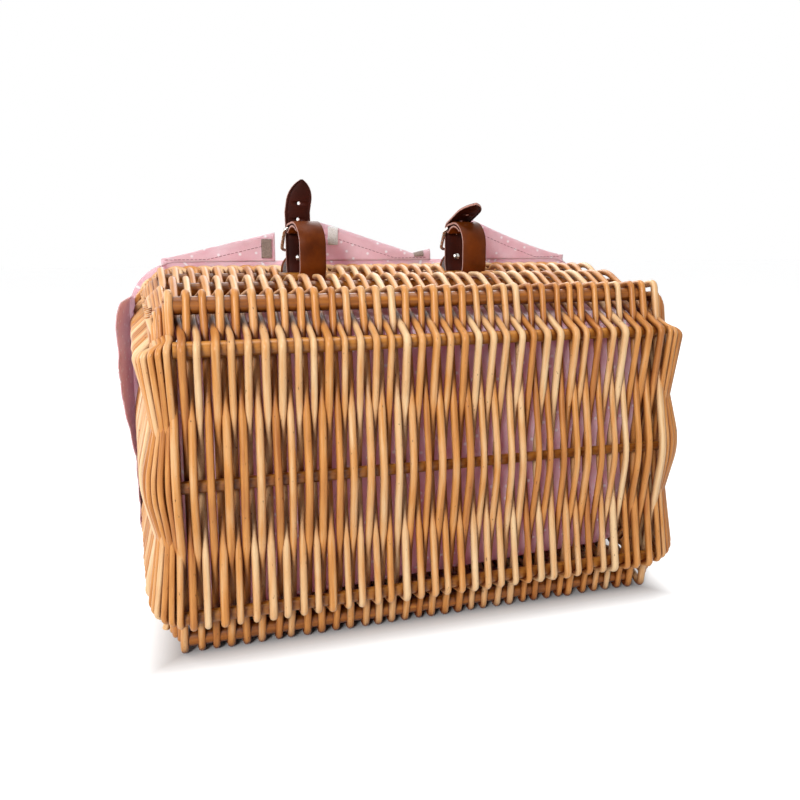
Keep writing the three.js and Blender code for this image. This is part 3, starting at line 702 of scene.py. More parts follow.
def outline_spot(share, y, inset):
    """A point on the rounded rectangle round the basket, with its outward direction in x and z."""
    radius = max(CORNER_RADIUS - inset, LEAST_RADIUS)
    flat_x = half_width(y) - inset - radius
    flat_z = half_depth(y) - inset - radius
    round_length = radius * math.pi / 2
    quarter, part = divmod(share % 1.0 * len(CORNERS), 1.0)
    past = part * (flat_x + flat_z + round_length) - (flat_x if quarter % 2 else flat_z)
    turn = quarter * math.pi / 2 + min(max(past, 0.0), round_length) / radius
    out = Vector((math.cos(turn), math.sin(turn)))
    along = min(past, 0.0) + max(past - round_length, 0.0)
    side_x, side_z = CORNERS[int(quarter)]
    centre = Vector((side_x * flat_x, side_z * flat_z))
    return centre + out * radius + Vector((-out.y, out.x)) * along, out


def rim_border():
    """Four rods twisted into the border on top of the walls."""
    bundle = Bundle()
    y = (RIM_FOOT + RIM_TOP) / 2
    for strand in range(RIM_STRANDS):
        path = []
        for step in range(RIM_STEPS + 1):
            share = step / RIM_STEPS
            spot, out = outline_spot(share, y, RIM_INSET)
            turn = math.tau * (RIM_TWISTS * share + strand / RIM_STRANDS)
            spot = spot + out * RIM_REACH * math.cos(turn)
            path.append(place(spot.x, y + RIM_RISE * math.sin(turn), spot.y))
        bundle.add(path, rod_radius(RIM_ROD), random.random(), RIM_SIDES)
    return bundle


# Bars and stakes: radius at the left or floor end and at the other, tint, and how much longer at the left

FLOOR_STICKS = {
    "floor_bar_back": (0.0052, 0.0037, 0.90, -0.005),
    "floor_bar_middle": (0.0041, 0.0031, 0.55, 0.0),
    "floor_bar_front": (0.0042, 0.0036, 0.75, 0.0),
}
WALL_STICKS = {
    "lower": (0.0058, 0.0047, 0.20, 0.0035),
    "middle": (0.0049, 0.0042, 0.45, 0.0),
    "upper": (0.0048, 0.0042, 0.50, 0.0),
}
STAKE_RADII = (0.0040, 0.0034)
STAKE_TINTS = (0.3, 0.7)
STICK_STEPS = 90
STICK_SIDES = 16
STICK_BOW = 0.0004
BOW_WAVES = 3
BAR_SHORT = 0.0002
STAKE_SHORT = 0.0006
KNOT_COUNT = 5
KNOT_PLACES = (0.06, 0.94)
KNOT_LENGTH = 0.010
KNOT_SWELL = 0.07


def stick(node, thick, thin, tint, longer=0.0):
    """A whole willow stick in the place of a bar or stake: tapered, knotted and a little bent."""
    low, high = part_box(node)
    low.x -= longer
    middle = (low + high) / 2
    if "stake" in node:
        side = -1 if node.startswith("left") else 1
        lean = TIPPED.to_3x3() @ Vector((side * math.sin(END_FLARE), math.cos(END_FLARE), 0))
        lean.normalize()
        reach = lean * ((high.y - low.y) / 2 / abs(lean.y) - STAKE_SHORT)
        bend = 0.0
    else:
        reach = Vector(((high.x - low.x) / 2 - BAR_SHORT, 0, 0))
        bend = STICK_BOW
    seed = random.uniform(0, 100)
    knots = [random.uniform(*KNOT_PLACES) for _ in range(KNOT_COUNT)]
    path = []
    for step in range(STICK_STEPS + 1):
        share = step / STICK_STEPS
        wave = BOW_WAVES * share
        bow = Vector((0, noise.noise((seed, wave, 0)), noise.noise((seed, wave, 9))))
        path.append(middle + reach * (2 * share - 1) + bow * bend)

    def radius_at(share):
        swell = sum(KNOT_SWELL * math.exp(-((share - knot) / KNOT_LENGTH) ** 2) for knot in knots)
        return (thick + (thin - thick) * share) * (1 + swell)

    bundle = Bundle()
    bundle.add(path, radius_at, tint, STICK_SIDES)
    settle(bundle.make(node + "_stick", ["bar", "cut"]), "basket", "willow_bar", node)


def weave():
    """The rods, as seven pieces, and the bars and stakes that they are woven round."""
    first, second = body_rods()
    rods = [
        ("body_rods_first_set", first, ["floor_weave"]),
        ("body_rods_second_set", second, ["front_weave", "back_weave"]),
        ("left_corner_rods", fan_rods(-1), []),
        ("right_corner_rods", fan_rods(1), []),
        ("left_end_rods", hoop_rods(-1), ["left_end_weave"]),
        ("right_end_rods", hoop_rods(1), ["right_end_weave"]),
        ("twisted_rim", rim_border(), ["rim_border"]),
    ]
    for name, bundle, nodes in rods:
        settle(bundle.make(name, ["rod", "cut"]), "basket", "willow_rod", *nodes)
    for node, look in FLOOR_STICKS.items():
        stick(node, *look)
    for wall in ("front", "back"):
        for height, look in WALL_STICKS.items():
            stick(f"{wall}_bar_{height}", *look)
    for end in ("left", "right"):
        for spot in ("front", "middle", "back"):
            stick(f"{end}_stake_{spot}", *STAKE_RADII, random.uniform(*STAKE_TINTS))


# Cloth lining, its cuff and its flaps

CLOTH = 0.0009
LINING_INSET = 0.0235
LINING_FLOOR = 0.0125
LINING_TOP = 0.2020
LINING_FILLET = 0.012
SLACK_MIDDLE = 0.036
SLACK_SLOPE = 0.11
SLACK_MOST = 0.052
SLACK_FADE = 0.06
FLOOR_FOLD = 0.0028
FLOOR_CREASE = 0.0012
WALL_FOLD = 0.0035
WALL_FADE_ROWS = 5
WALL_CUT = 1.08
CUFF_CUT = (1.28, 0.085)
CUFF_COLUMNS = 440
CUFF_ROWS = 12
CUFF_GAP = 0.0008
CUFF_SWING = 0.0090
CUFF_CLOSE = 0.28
CUFF_OPEN = 0.80
CUFF_END = 0.75
CUFF_CURVE = 0.8
CUFF_RIPPLE = 0.0016
CUFF_BACK = 0.30
CUFF_PRINT = 0.30
CUFF_ROW = 0.005


def sheet(name, rows, columns, spot_at, keep=None, material="cloth", thickness=CLOTH):
    """A cloth mesh; spot_at gives each point and its place on the flat cloth in metres."""
    spots = [spot_at(i, j) for i in range(rows + 1) for j in range(columns + 1)]
    faces = []
    for i in range(rows):
        for j in range(columns):
            if keep is None or keep(i, j):
                here = i * (columns + 1) + j
                next_row = here + columns + 1
                faces.append((here, here + 1, next_row + 1, next_row))
    used = sorted({corner for face in faces for corner in face})
    number = {corner: k for k, corner in enumerate(used)}
    faces = [tuple(number[corner] for corner in face) for face in faces]
    values = {"cloth": [(*spots[corner][1], 0.0) for corner in used]}
    piece = finish_mesh(name, [spots[corner][0] for corner in used], faces, [material], values)
    solid = piece.modifiers.new("thickness", "SOLIDIFY")
    solid.thickness = thickness
    solid.offset = 0.0
    return piece


def into_corners(x, z, half_x, half_z, radius):
    """Draws a rectangle's corners in to round ones, and gives the new place and its depth inside."""
    out_x = abs(x) - half_x + radius
    out_z = abs(z) - half_z + radius
    out = max(out_x, out_z)
    if out_x <= 0 or out_z <= 0:
        return x, z, radius - out
    draw = out / math.hypot(out_x, out_z)
    near_x = half_x - radius + out_x * draw
    near_z = half_z - radius + out_z * draw
    return math.copysign(near_x, x), math.copysign(near_z, z), radius - out


def slack(x, z):
    """The radius in which the lining's floor turns up into its wall, wide where it hangs slack in front."""
    front = min(max(-z / SLACK_FADE, 0.0), 1.0)
    wide = min(max(SLACK_MIDDLE + SLACK_SLOPE * x, LINING_FILLET), SLACK_MOST)
    return LINING_FILLET + (wide - LINING_FILLET) * front


def lining_floor():
    """The lining's floor, in loose folds, with its edge turned up to meet the wall."""
    half_x = half_width(LINING_FLOOR) - LINING_INSET
    half_z = half_depth(LINING_FLOOR) - LINING_INSET
    radius = CORNER_RADIUS - LINING_INSET
    columns, rows = 120, 80

    def spot_at(i, j):
        x = half_x * (2 * j / columns - 1)
        z = half_z * (2 * i / rows - 1)
        x, z, inside = into_corners(x, z, half_x, half_z, radius)
        turn_up = slack(x, z)
        short = max(turn_up - inside, 0.0)
        rise = turn_up - math.sqrt(max(turn_up ** 2 - short ** 2, 0.0))
        fold = FLOOR_FOLD * abs(noise.noise((28 * x, 9 * z, 3.0)))
        fold += FLOOR_CREASE * abs(noise.noise((70 * x, 30 * z, 8.0)))
        return place(x, LINING_FLOOR + rise + fold, z), (x, z)

    piece = sheet("lining_floor_cloth", rows, columns, spot_at)
    return piece


def lining_walls():
    """The lining's wall, once round the inside, with folds that fade out at its top."""
    columns, rows = 260, 26

    def spot_at(i, j):
        share = j / columns
        foot_spot, _ = outline_spot(share, LINING_FLOOR, LINING_INSET)
        foot = LINING_FLOOR + slack(foot_spot.x, foot_spot.y)
        y = foot + (LINING_TOP - foot) * i / rows
        fade = min((rows - i) / WALL_FADE_ROWS, 1.0)
        fold = WALL_FOLD * abs(noise.noise((30 * share, 3 * i / rows, 5.0))) * fade
        spot, _ = outline_spot(share, y, LINING_INSET + fold)
        return place(spot.x, y, spot.y), (share * WALL_CUT, y)

    piece = sheet("lining_wall_cloth", rows, columns, spot_at)
    return piece


# The cuff's lip from inside the rim to its outer edge: inset from the outline and height above the rim
LIP = [(0.0232, -0.0125), (0.0232, -0.0040), (0.0226, 0.0004),
       (0.0190, 0.0011), (0.0100, 0.0013), (0.0002, 0.0011)]


def cuff_reach(spot, out, share_down):
    """How far the cuff's skirt stands off the weave: loose and rippled at the ends, most at the back."""
    straight = half_depth(CUFF_LOW) - CORNER_RADIUS
    along = min(max((spot.y + straight) / (2 * straight), 0.0), 1.0)
    loose = max(abs(out.x) - CUFF_END, 0.0) / (1 - CUFF_END)
    open_share = min(max((along - CUFF_CLOSE) / (CUFF_OPEN - CUFF_CLOSE), 0.0), 1.0)
    swing = CUFF_SWING * math.sin(math.pi / 2 * open_share)
    ripple = CUFF_RIPPLE * (1 + noise.noise((90 * spot.x, 60 * spot.y, 2.0)))
    return loose * share_down ** CUFF_CURVE * (swing + ripple)


def cuff():
    """The cuff: a lip over the whole rim, and a skirt outside the ends and the front."""
    def spot_at(i, j):
        share = j / CUFF_COLUMNS
        flat = (CUFF_CUT[0] * share, CUFF_PRINT + CUFF_ROW * i)
        if i < len(LIP):
            inset, rise = LIP[i]
            spot, _ = outline_spot(share, RIM_TOP, inset)
            return place(spot.x, RIM_TOP + rise, spot.y), flat
        down = (i - len(LIP) + 1) / CUFF_ROWS
        y = RIM_TOP - down * (RIM_TOP - CUFF_LOW)
        spot, out = outline_spot(share, y, CUFF_GAP)
        spot = spot + out * cuff_reach(spot, out, down)
        return place(spot.x, y, spot.y), flat

    def keep(i, j):
        _, out = outline_spot((j + 0.5) / CUFF_COLUMNS, RIM_TOP, 0.0)
        return i < len(LIP) - 1 or out.y <= CUFF_BACK

    piece = sheet("cuff_cloth", len(LIP) + CUFF_ROWS - 1, CUFF_COLUMNS, spot_at, keep)
    return piece


# The flaps: where each starts and ends, its height there, and how its edge curves between
Cut = namedtuple("Cut", "start end first last power")
FLAPS = {
    "left": Cut(-0.1880, -0.0920, 0.002, 0.025, 1.0),
    "middle": Cut(-0.0520, 0.0520, 0.034, 0.022, 0.6),
    "right": Cut(0.0920, 0.1900, 0.038, 0.003, 0.8),
}
HINGE = Vector((0.0, 0.2154, 0.12631))
FLAP_COLUMNS = 48
FLAP_ROWS = 14
FLAP_BILLOW = 0.0065
BILLOW_START = 0.12
BILLOW_WIDTH = 0.76
FLAP_CURL = 0.0035
CURL_FLAT = 0.4
FLAP_RIPPLE = 0.0020
FLAP_FOOT = 0.0012
FLAP_FORWARD = 0.0006
DIP_PLACE = 0.84
DIP_HEIGHT = 0.005
DIP_SLOPE = 0.025
ROLL_RADIUS = 0.0035
ROLL_TURN = math.radians(105)
HEM = 0.010
HEM_LOWEST = 0.001
STITCH_PITCH = 0.0034
STITCH_SHARE = 0.62
STITCH_ARCH = 0.0003
STITCH_PARTS = (0.0, 0.3, 0.7, 1.0)
THREAD_RADIUS = 0.00028
THREAD_SIDES = 6


def flap_x(side, share):
    cut = FLAPS[side]
    return cut.start + (cut.end - cut.start) * share


def flap_top(side, share):
    """The length of a flap's cloth above its hinge."""
    cut = FLAPS[side]
    if cut.first < cut.last:
        return cut.first + (cut.last - cut.first) * share ** cut.power
    return cut.last + (cut.first - cut.last) * (1 - share) ** (1 / cut.power)


def flap_crest(side, share):
    """How high a flap stands: the middle one dips towards its right and rolls over there."""
    if side != "middle":
        return flap_top(side, share)
    if share > DIP_PLACE:
        return DIP_HEIGHT + DIP_SLOPE * (share - DIP_PLACE)
    return DIP_HEIGHT + (flap_top(side, 0.0) - DIP_HEIGHT) * (1 - share / DIP_PLACE)


def rolled(rise, crest):
    """How far back and up a length of flap reaches that rolls over at its crest."""
    foot = max(crest - ROLL_RADIUS, 0.0)
    if rise <= foot:
        return 0.0, rise
    turn = min((rise - foot) / ROLL_RADIUS, ROLL_TURN)
    beyond = max(rise - foot - ROLL_RADIUS * ROLL_TURN, 0.0)
    back = ROLL_RADIUS * (1 - math.cos(turn)) + beyond * math.sin(turn)
    return back, foot + ROLL_RADIUS * math.sin(turn) + beyond * math.cos(turn)


def flap_spot(side, share, rise, forward):
    """A point on a flap, given as a share of its width and a length up it, moved forward off its face."""
    x = flap_x(side, share)
    up = min(rise / flap_top(side, share), 1.0)
    swell = math.sin(math.pi * min(max((share - BILLOW_START) / BILLOW_WIDTH, 0.0), 1.0)) ** 2
    back = FLAP_BILLOW * swell * up ** 2 - FLAP_CURL * up ** 4 * (CURL_FLAT + swell)
    back += FLAP_RIPPLE * up * noise.noise((40 * x, 30 * rise, 4.0))
    over, height = rolled(rise, flap_crest(side, share))
    return place(x, HINGE.y + back + over - forward, HINGE.z + height)


def flap_sheet(name, side, shares, low, high, forward, material="cloth", thickness=CLOTH):
    """A strip of cloth on a flap between two heights, each given as a function of the share."""
    def spot_at(i, j):
        share = shares[j]
        rise = low(share) + (high(share) - low(share)) * i / FLAP_ROWS
        return flap_spot(side, share, rise, forward), (flap_x(side, share), rise)

    return sheet(name, FLAP_ROWS, len(shares) - 1, spot_at, None, material, thickness)


def stitches(name, side):
    """A row of short threads along the foot of a flap's hem."""
    bundle = Bundle()
    count = int((FLAPS[side].end - FLAPS[side].start) / STITCH_PITCH)
    for k in range(1, count - 1):
        path = []
        for part in STITCH_PARTS:
            share = (k + STITCH_SHARE * part) / count
            lift = FLAP_FORWARD + CLOTH / 2 + STITCH_ARCH * math.sin(math.pi * part)
            seam = max(min(flap_top(side, share), flap_crest(side, share)) - HEM, HEM_LOWEST)
            path.append(flap_spot(side, share, seam, lift))
        bundle.add(path, rod_radius(THREAD_RADIUS), 0.5, THREAD_SIDES)
    return bundle.make(name, ["thread", "thread"])


TAPES = {
    "left_flap_loop_tape": ("left", "loop_tape"),
    "middle_flap_hook_tape": ("middle", "tape"),
    "middle_flap_loop_tape": ("middle", "loop_tape"),
    "right_flap_hook_tape": ("right", "tape"),
}
TAPE_COLUMNS = 10
TAPE_LIFT = 0.0027
TAPE_LOWEST = 0.0008
TAPE_THICKNESS = 0.0010


def tape(node):
    """A patch of hook-and-loop tape that follows its flap."""
    side, material = TAPES[node]
    cut = FLAPS[side]
    low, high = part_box(node)
    hinge_height = place(0, HINGE.y, HINGE.z).z
    foot = max(low.z - hinge_height, TAPE_LOWEST)
    top = high.z - hinge_height
    first, last = ((x - cut.start) / (cut.end - cut.start) for x in (low.x, high.x))
    shares = [first + (last - first) * k / TAPE_COLUMNS for k in range(TAPE_COLUMNS + 1)]
    piece = flap_sheet(node + "_patch", side, shares, lambda share: foot, lambda share: top,
                       TAPE_LIFT, material, TAPE_THICKNESS)
    settle(piece, f"{side}_flap", "hook_tape", node)
    return piece


def rim_fall(x):
    """How far the rim's corner has turned down below its straight stretch at x."""
    past = max(abs(x) - half_width(RIM_TOP) + CORNER_RADIUS, 0.0)
    return CORNER_RADIUS - math.sqrt(CORNER_RADIUS ** 2 - past ** 2)


def flap(side):
    """A flap, with the stitches and tapes that ride on it."""
    body = f"{side}_flap"
    cut = FLAPS[side]
    shares = [k / FLAP_COLUMNS for k in range(FLAP_COLUMNS + 1)]

    def foot(share):
        return -FLAP_FOOT - rim_fall(flap_x(side, share))

    def top(share):
        return flap_top(side, share)

    panel = flap_sheet(f"{side}_flap_cloth", side, shares, foot, top, FLAP_FORWARD)
    settle(panel, body, "lining_cloth", body)
    threads = stitches(f"{side}_flap_stitches", side)
    settle(threads, body, "lining_cloth")
    on_flap = [threads, *(tape(node) for node in TAPES if TAPES[node][0] == side)]
    width = cut.end - cut.start
    height = FLAP_FOOT + max(cut.first, cut.last)
    area = width * sum(top(share) - foot(share) for share in shares) / len(shares)


def lining():
    for piece, node in (
        (lining_floor(), "lining_floor"),
        (lining_walls(), "lining_walls"),
        (cuff(), "cuff_skirt"),
    ):
        settle(piece, "basket", "lining_cloth", node)
    for side in FLAPS:
        flap(side)


# Leather straps with their tabs, rivets and buckles

STRAP_LOOKS = ["leather", "strap_back", "raw_edge"]
FRONT, BACK, EDGE = range(len(STRAP_LOOKS))
STRAP_STEP = 0.0011
LOOP_STEPS = 40
EYE_STEPS = 14
TAIL_STEPS = 12
CHAPE_RADIUS = 0.0159
CHAPE_END = math.radians(128)
EYE_SWELL = 0.28
EDGE_BEVEL = 0.0005
GROOVE_INSET = 0.0022
GROOVE_MOST = 0.6
GROOVE_HALF = 0.0004
GROOVE_DEPTH = 0.0003
SKEW_TURN = 1 / 3
SKEW_BACK = 0.8
TIP_LEAST = 0.10
TIP_CURVE = 0.7
PUNCH_SIDES = 24
PUNCH_REACH = 0.006
TAB_GAP = 0.0003
TAB_STEPS = 24
TAB_BEVEL = 0.0006
# The tab's brown lip round its grey face: inset from the outline and depth behind the face
TAB_LIP = [(0.0, 0.0007), (0.0004, 0.0001), (0.0012, -0.0001), (0.0024, 0.0)]
RIVET_SIDES = 28
RIVET_GAP = 0.0003
# The rivet's dome from its top to the shank: radius and height
RIVET_DOME = [(0.0, 0.0015), (0.0012, 0.00135), (0.0022, 0.0009),
              (0.0030, 0.0002), (0.0028, 0.0), (0.0015, 0.0)]
BUCKLE_ROUND = 0.003
BUCKLE_STEPS = 10
BUCKLE_SIDES = 16
PRONG_EYE = BUCKLE_WIRE + PRONG_RADIUS + 0.0003
PRONG_OPEN = math.radians(100)
PRONG_LENGTH = 0.0215
PRONG_STEPS = 20
PRONG_STEP = 0.0008
PRONG_TAPER = -0.2
PRONG_SIDES = 14


def strap_frame(side):
    """The strap's own frame: x along the bar, y towards the mouth and z away from the wall."""
    spot = Vector((STRAP_PLACES[side], UPPER_BAR, wall_middle(UPPER_BAR)))
    return TIPPED @ Matrix.Translation(spot) @ Matrix.Rotation(STRAP_TWISTS[side], 4, "Z")


def arc(centre, radius, start, end, steps):
    turns = [start + (end - start) * k / steps for k in range(steps + 1)]
    return [centre + radius * Vector((math.cos(turn), math.sin(turn))) for turn in turns]


def strap_line(lean):
    """The strap's middle line in y and z: folded end, buckle eye, loop round the bar, and free tail."""
    head = Vector((0.0, LOOP_HEAD))
    eye_turn = math.atan2(EYE.y - LOOP_HEAD, EYE.x)
    folded = arc(head, CHAPE_RADIUS, CHAPE_END, eye_turn, LOOP_STEPS)
    round_eye = arc(EYE, EYE_FOLD, eye_turn + math.pi, eye_turn + math.tau, EYE_STEPS)
    over = []
    for k in range(1, LOOP_STEPS + 1):
        turn = eye_turn + (math.pi - eye_turn) * k / LOOP_STEPS
        swell = EYE_FOLD * math.exp(-((turn - eye_turn) / EYE_SWELL) ** 2)
        over.append(head + (LOOP_RADIUS + swell) * Vector((math.cos(turn), math.sin(turn))))
    under = arc(Vector((0.0, LOOP_FOOT)), LOOP_RADIUS, math.pi, math.tau, LOOP_STEPS)
    bend = arc(EYE, TAIL_BEND, 0.0, lean, TAIL_STEPS)
    tip = bend[-1] + Vector((-math.sin(lean), math.cos(lean))) * TAIL_LENGTH
    return resample([*folded, *round_eye, *over, *under, *bend, tip], STRAP_STEP)


def strap_section(half):
    """The strap's section: points across and out, each with the look of the face that follows it."""
    thick = STRAP_THICKNESS / 2
    groove = half - min(GROOVE_INSET, half * GROOVE_MOST)
    near = [(half - EDGE_BEVEL, -thick), (groove + GROOVE_HALF, -thick),
            (groove, GROOVE_DEPTH - thick), (groove - GROOVE_HALF, -thick)]
    return [
        (-half + EDGE_BEVEL, thick, FRONT),
        (half - EDGE_BEVEL, thick, FRONT),
        (half, thick - EDGE_BEVEL, EDGE),
        (half, EDGE_BEVEL - thick, EDGE),
        *((across, lift, BACK) for across, lift in near),
        *((-across, lift, BACK) for across, lift in reversed(near)),
        (-half, EDGE_BEVEL - thick, EDGE),
        (-half, thick - EDGE_BEVEL, FRONT),
    ]


def tail_skew(side, left_over):
    """How far the tail leans sideways at a distance from its tip."""
    share = min(max(1 - left_over / TAIL_LENGTH, 0.0), 1.0)
    early = min(share / SKEW_TURN, 1.0)
    return TAIL_SKEWS[side] * (share + SKEW_BACK * (share - early))


def strap_band(side):
    """One strap of leather with a pointed, punched tail."""
    to_world = strap_frame(side)
    line = strap_line(STRAP_LEANS[side])
    lengths = lengths_along(line)
    points, looks = [], []
    for i, spot in enumerate(line):
        heading = (line[min(i + 1, len(line) - 1)] - line[max(i - 1, 0)]).normalized()
        out = Vector((heading.y, -heading.x))
        left_over = lengths[-1] - lengths[i]
        narrow = min(left_over / TIP_LENGTH, 1.0)
        half = STRAP_WIDTH / 2 * max((1 - (1 - narrow) ** 2) ** TIP_CURVE, TIP_LEAST)
        skew = tail_skew(side, left_over)
        for across, lift, look in strap_section(half):
            flat = spot + out * lift
            points.append(to_world @ Vector((across + skew, flat.x, flat.y)))
            looks.append(look)
    sides = len(strap_section(STRAP_WIDTH / 2))
    looks = looks[:-sides] + [EDGE, EDGE]
    faces = tube_faces(len(line), sides)
    band = finish_mesh(f"{side}_strap_leather", points, faces, STRAP_LOOKS, None, looks)
    tail = to_world @ Matrix.Translation((0, *line[-1])) @ Matrix.Rotation(STRAP_LEANS[side], 4, "X")
    for k, back in enumerate(HOLE_PLACES):
        punch(band, f"{side}_hole_{k}", tail @ Matrix.Translation((tail_skew(side, back), 0, -back)))
    settle(band, f"{side}_strap", "strap_leather", f"{side}_strap")


def turned(profile, sides, to_world):
    """Rings of points round y for a profile of radius and y."""
    points = []
    for radius, y in profile:
        for k in range(sides):
            turn = math.tau * k / sides
            points.append(to_world @ Vector((radius * math.cos(turn), y, radius * math.sin(turn))))
    return points


def punch(band, name, spot):
    """Cuts a round hole along y through a band of leather."""
    points = turned([(HOLE_RADIUS, PUNCH_REACH), (HOLE_RADIUS, -PUNCH_REACH)], PUNCH_SIDES, spot)
    cutter = finish_mesh(name, points, tube_faces(2, PUNCH_SIDES), ["raw_edge"])
    cut = band.modifiers.new(name, "BOOLEAN")
    cut.object = cutter
    cut.operation = "DIFFERENCE"
    cut.solver = "EXACT"
    shape = band.evaluated_get(bpy.context.evaluated_depsgraph_get())
    mesh = bpy.data.meshes.new_from_object(shape)
    band.modifiers.clear()
    band.data = mesh
    bpy.data.objects.remove(cutter)


def tab(side):
    """The round-topped tab behind the loop: a dry grey face with a brown rim."""
    to_world = strap_frame(side)

    def rim(inset, depth):
        half = TAB_HALF_WIDTH - inset
        flat = [(-half, inset - TAB_FOOT), (half, inset - TAB_FOOT)]
        flat += arc(Vector((0.0, TAB_TOP - TAB_HALF_WIDTH)), half, 0.0, math.pi, TAB_STEPS)
        return [to_world @ Vector((x, depth, z)) for x, z in flat]

    near = LOOP_RADIUS + STRAP_THICKNESS / 2 + TAB_GAP
    far = near + TAB_THICKNESS
    rings = [rim(TAB_BEVEL, far), rim(0.0, far - TAB_BEVEL)]
    rings += [rim(inset, near + depth) for inset, depth in TAB_LIP]
    sides = len(rings[0])
    points = [point for ring in rings for point in ring]
    looks = [1] * sides * (len(rings) - 2) + [0] * sides + [1, 0]
    faces = tube_faces(len(rings), sides)
    piece = finish_mesh(f"{side}_tab_leather", points, faces, ["suede", "leather"], None, looks)
    settle(piece, f"{side}_strap", "tab_suede", f"{side}_strap_tab")


def rivet(side):
    """A rivet through the far leg of the loop and the tab, domed at both ends."""
    to_world = strap_frame(side) @ Matrix.Translation((0, 0, RIVET_HEIGHT))
    near = LOOP_RADIUS - STRAP_THICKNESS / 2 - RIVET_GAP
    far = LOOP_RADIUS + STRAP_THICKNESS / 2 + TAB_THICKNESS + 2 * RIVET_GAP
    profile = [(radius, far + rise) for radius, rise in RIVET_DOME]
    profile += [(radius, near - rise) for radius, rise in reversed(RIVET_DOME)]
    wall = tube_faces(len(profile), RIVET_SIDES)[:-2]
    piece = finish_mesh(f"{side}_rivet_metal", turned(profile, RIVET_SIDES, to_world), wall, ["nickel"])
    settle(piece, f"{side}_strap", "nickel", f"{side}_strap_rivet")


def buckle(side):
    """The wire frame that turns in the strap's folded end, and the prong on its rear bar."""
    to_world = strap_frame(side) @ Matrix.Translation((0, *EYE)) @ Matrix.Rotation(BUCKLE_TILT, 4, "X")
    right = BUCKLE_HALF_WIDTH - BUCKLE_ROUND
    low = BUCKLE_ROUND - BUCKLE_LENGTH
    corners = [(right, -BUCKLE_ROUND), (-right, -BUCKLE_ROUND), (-right, low), (right, low)]
    outline = []
    for quarter, corner in enumerate(corners):
        start = quarter * math.pi / 2
        outline += arc(Vector(corner), BUCKLE_ROUND, start, start + math.pi / 2, BUCKLE_STEPS)
    outline.append(outline[0])
    wire = Bundle()
    path = [to_world @ Vector((spot.x, 0, spot.y)) for spot in outline]
    wire.add(path, rod_radius(BUCKLE_WIRE), 0.5, BUCKLE_SIDES)
    ring = arc(Vector((0.0, 0.0)), PRONG_EYE, PRONG_OPEN, math.tau, PRONG_STEPS)
    line = relax(resample([*ring, Vector((PRONG_EYE, -PRONG_LENGTH))], PRONG_STEP), 3)
    prong = Bundle()
    path = [to_world @ Vector((0, spot.x, spot.y)) for spot in line]
    prong.add(path, rod_radius(PRONG_RADIUS, PRONG_TAPER), 0.5, PRONG_SIDES)
    for bundle, name, node, body in (
        (wire, "buckle_wire", "buckle_frame", "buckle"),
        (prong, "prong_wire", "buckle_prong", "prong"),
    ):
        piece = bundle.make(f"{side}_{name}", ["nickel", "nickel"])
        settle(piece, f"{side}_{body}", "nickel", f"{side}_{node}")


def straps():
    for side in STRAP_PLACES:
        strap_band(side)
        tab(side)
        rivet(side)
        buckle(side)


# Stage, light and camera

CAMERA_PLACE = Vector((-0.1273, -0.5574, 0.2753))
CAMERA_YAW = math.radians(16.1)
CAMERA_PITCH = math.radians(7.1)
FOCAL_PIXELS = 720
PICTURE = 800
PICTURE_CENTRE = (443, 324)
SENSOR = 36.0
WORLD_STRENGTH = 0.12
STAGE_HALF = 6.0
STAGE_GREY = 0.55
STAGE_GLOW = 0.85
# Painted contact shadow round the basket's foot: how far inside its outline the glow is gone, and the reach
# over which it returns
SHADE_INSIDE = 0.020
SHADE_REACH = 0.030
LAMP_AIM = Vector((0.0, 0.0, 0.12))
# Each lamp's place, width and power
LAMPS = {
    "key": ((-0.80, -1.4, 0.8), 0.4, 21.0),
    "top": ((0.1, -0.1, 1.9), 0.9, 14.0),
    "side": ((-1.5, 0.7, 0.5), 0.9, 11.0),
    "back": ((0.3, 1.5, 1.3), 1.2, 14.0),
}


def camera():
    """The photograph's view; the shift moves the optical axis to its place in the picture."""
    data = bpy.data.cameras.new("view")
    data.sensor_width = SENSOR
    data.lens = SENSOR * FOCAL_PIXELS / PICTURE
    data.shift_x = 0.5 - PICTURE_CENTRE[0] / PICTURE
    data.shift_y = PICTURE_CENTRE[1] / PICTURE - 0.5
    data.clip_start = 0.01
    eye = bpy.data.objects.new("view", data)
    eye.location = CAMERA_PLACE
    eye.rotation_euler = (math.pi / 2 - CAMERA_PITCH, 0, -CAMERA_YAW)
    bpy.context.scene.collection.objects.link(eye)
    bpy.context.scene.camera = eye


def seen_directly(nodes):
    """One for rays that show the backdrop itself: from the camera, in gloss and through glass."""
    rays = nodes.add("LightPath").outputs
    seen = nodes.math("MAXIMUM", rays["Is Camera Ray"], rays["Is Glossy Ray"])
    return nodes.math("MAXIMUM", seen, rays["Is Transmission Ray"])


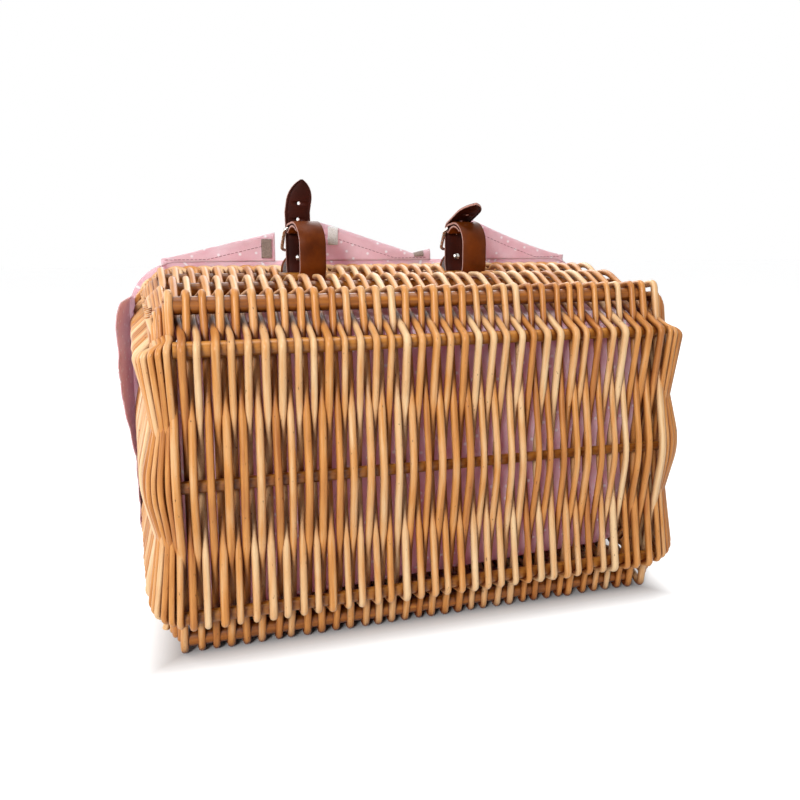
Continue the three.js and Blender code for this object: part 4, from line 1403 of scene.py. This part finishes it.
def world():
    """A weak, even light that looks white where it is seen directly."""
    studio = bpy.data.worlds.new("studio")
    bpy.context.scene.world = studio
    studio.use_nodes = True
    nodes = Nodes(studio.node_tree)
    light = nodes.tree.nodes["Background"]
    nodes.set(light, {"Color": srgb("f4f6fa"), "Strength": WORLD_STRENGTH})
    backdrop = nodes.add("Background", Color=grey(1.0))
    either = nodes.add("MixShader", Fac=seen_directly(nodes))
    nodes.plug(either.inputs[1], light.outputs["Background"])
    nodes.plug(either.inputs[2], backdrop.outputs["Background"])
    nodes.plug(nodes.tree.nodes["World Output"].inputs["Surface"], either.outputs["Shader"])


def stage():
    """A pale floor that glows white where seen directly, but not under and near the basket: a painted
    shadow.
    """
    corners = [(x * STAGE_HALF, y * STAGE_HALF, 0) for x, y in ((-1, -1), (1, -1), (1, 1), (-1, 1))]
    mesh = bpy.data.meshes.new("studio_floor")
    mesh.from_pydata(corners, [], [(0, 1, 2, 3)])
    floor = bpy.data.objects.new("studio_floor", mesh)
    bpy.context.scene.collection.objects.link(floor)
    shader = Shader("studio_floor", Base_Color=grey(STAGE_GREY), Roughness=0.9)
    spot = shader.add("SeparateXYZ", Vector=shader.add("NewGeometry").outputs["Position"]).outputs
    # Painted contact shadow: the glow is cut under the basket's footprint and rises to full just outside it
    beside = shader.math("SUBTRACT", shader.math("ABSOLUTE", spot["X"]), FLOOR_WIDTH / 2)
    before = shader.math("SUBTRACT", shader.math("ABSOLUTE", spot["Y"]), WALL_HEIGHT / 2)
    clear = shader.math("ADD", shader.math("MAXIMUM", beside, before), SHADE_INSIDE)
    clear = shader.math("MULTIPLY", clear, 1 / SHADE_REACH)
    glow_outside_painted_shadow = shader.ramp(clear, (0.0, grey(0)), (1.0, grey(1)))
    glow = shader.math("MULTIPLY", glow_outside_painted_shadow, STAGE_GLOW)
    glow = shader.math("MULTIPLY", seen_directly(shader), glow)
    light = shader.add("Emission", Strength=glow)
    both = shader.add("AddShader")
    shader.plug(both.inputs[0], shader.surface.outputs["BSDF"])
    shader.plug(both.inputs[1], light.outputs["Emission"])
    shader.plug(shader.tree.nodes["Material Output"].inputs["Surface"], both.outputs["Shader"])
    mesh.materials.append(shader.material)


def lamps():
    for name, (spot, width, power) in LAMPS.items():
        data = bpy.data.lights.new(name, "AREA")
        data.size = width
        data.energy = power
        lamp = bpy.data.objects.new(name, data)
        lamp.location = spot
        lamp.rotation_euler = (LAMP_AIM - Vector(spot)).to_track_quat("-Z", "Y").to_euler()
        bpy.context.scene.collection.objects.link(lamp)


bpy.context.scene.view_settings.view_transform = "Standard"
camera()
world()
stage()
lamps()
weave()
lining()
straps()
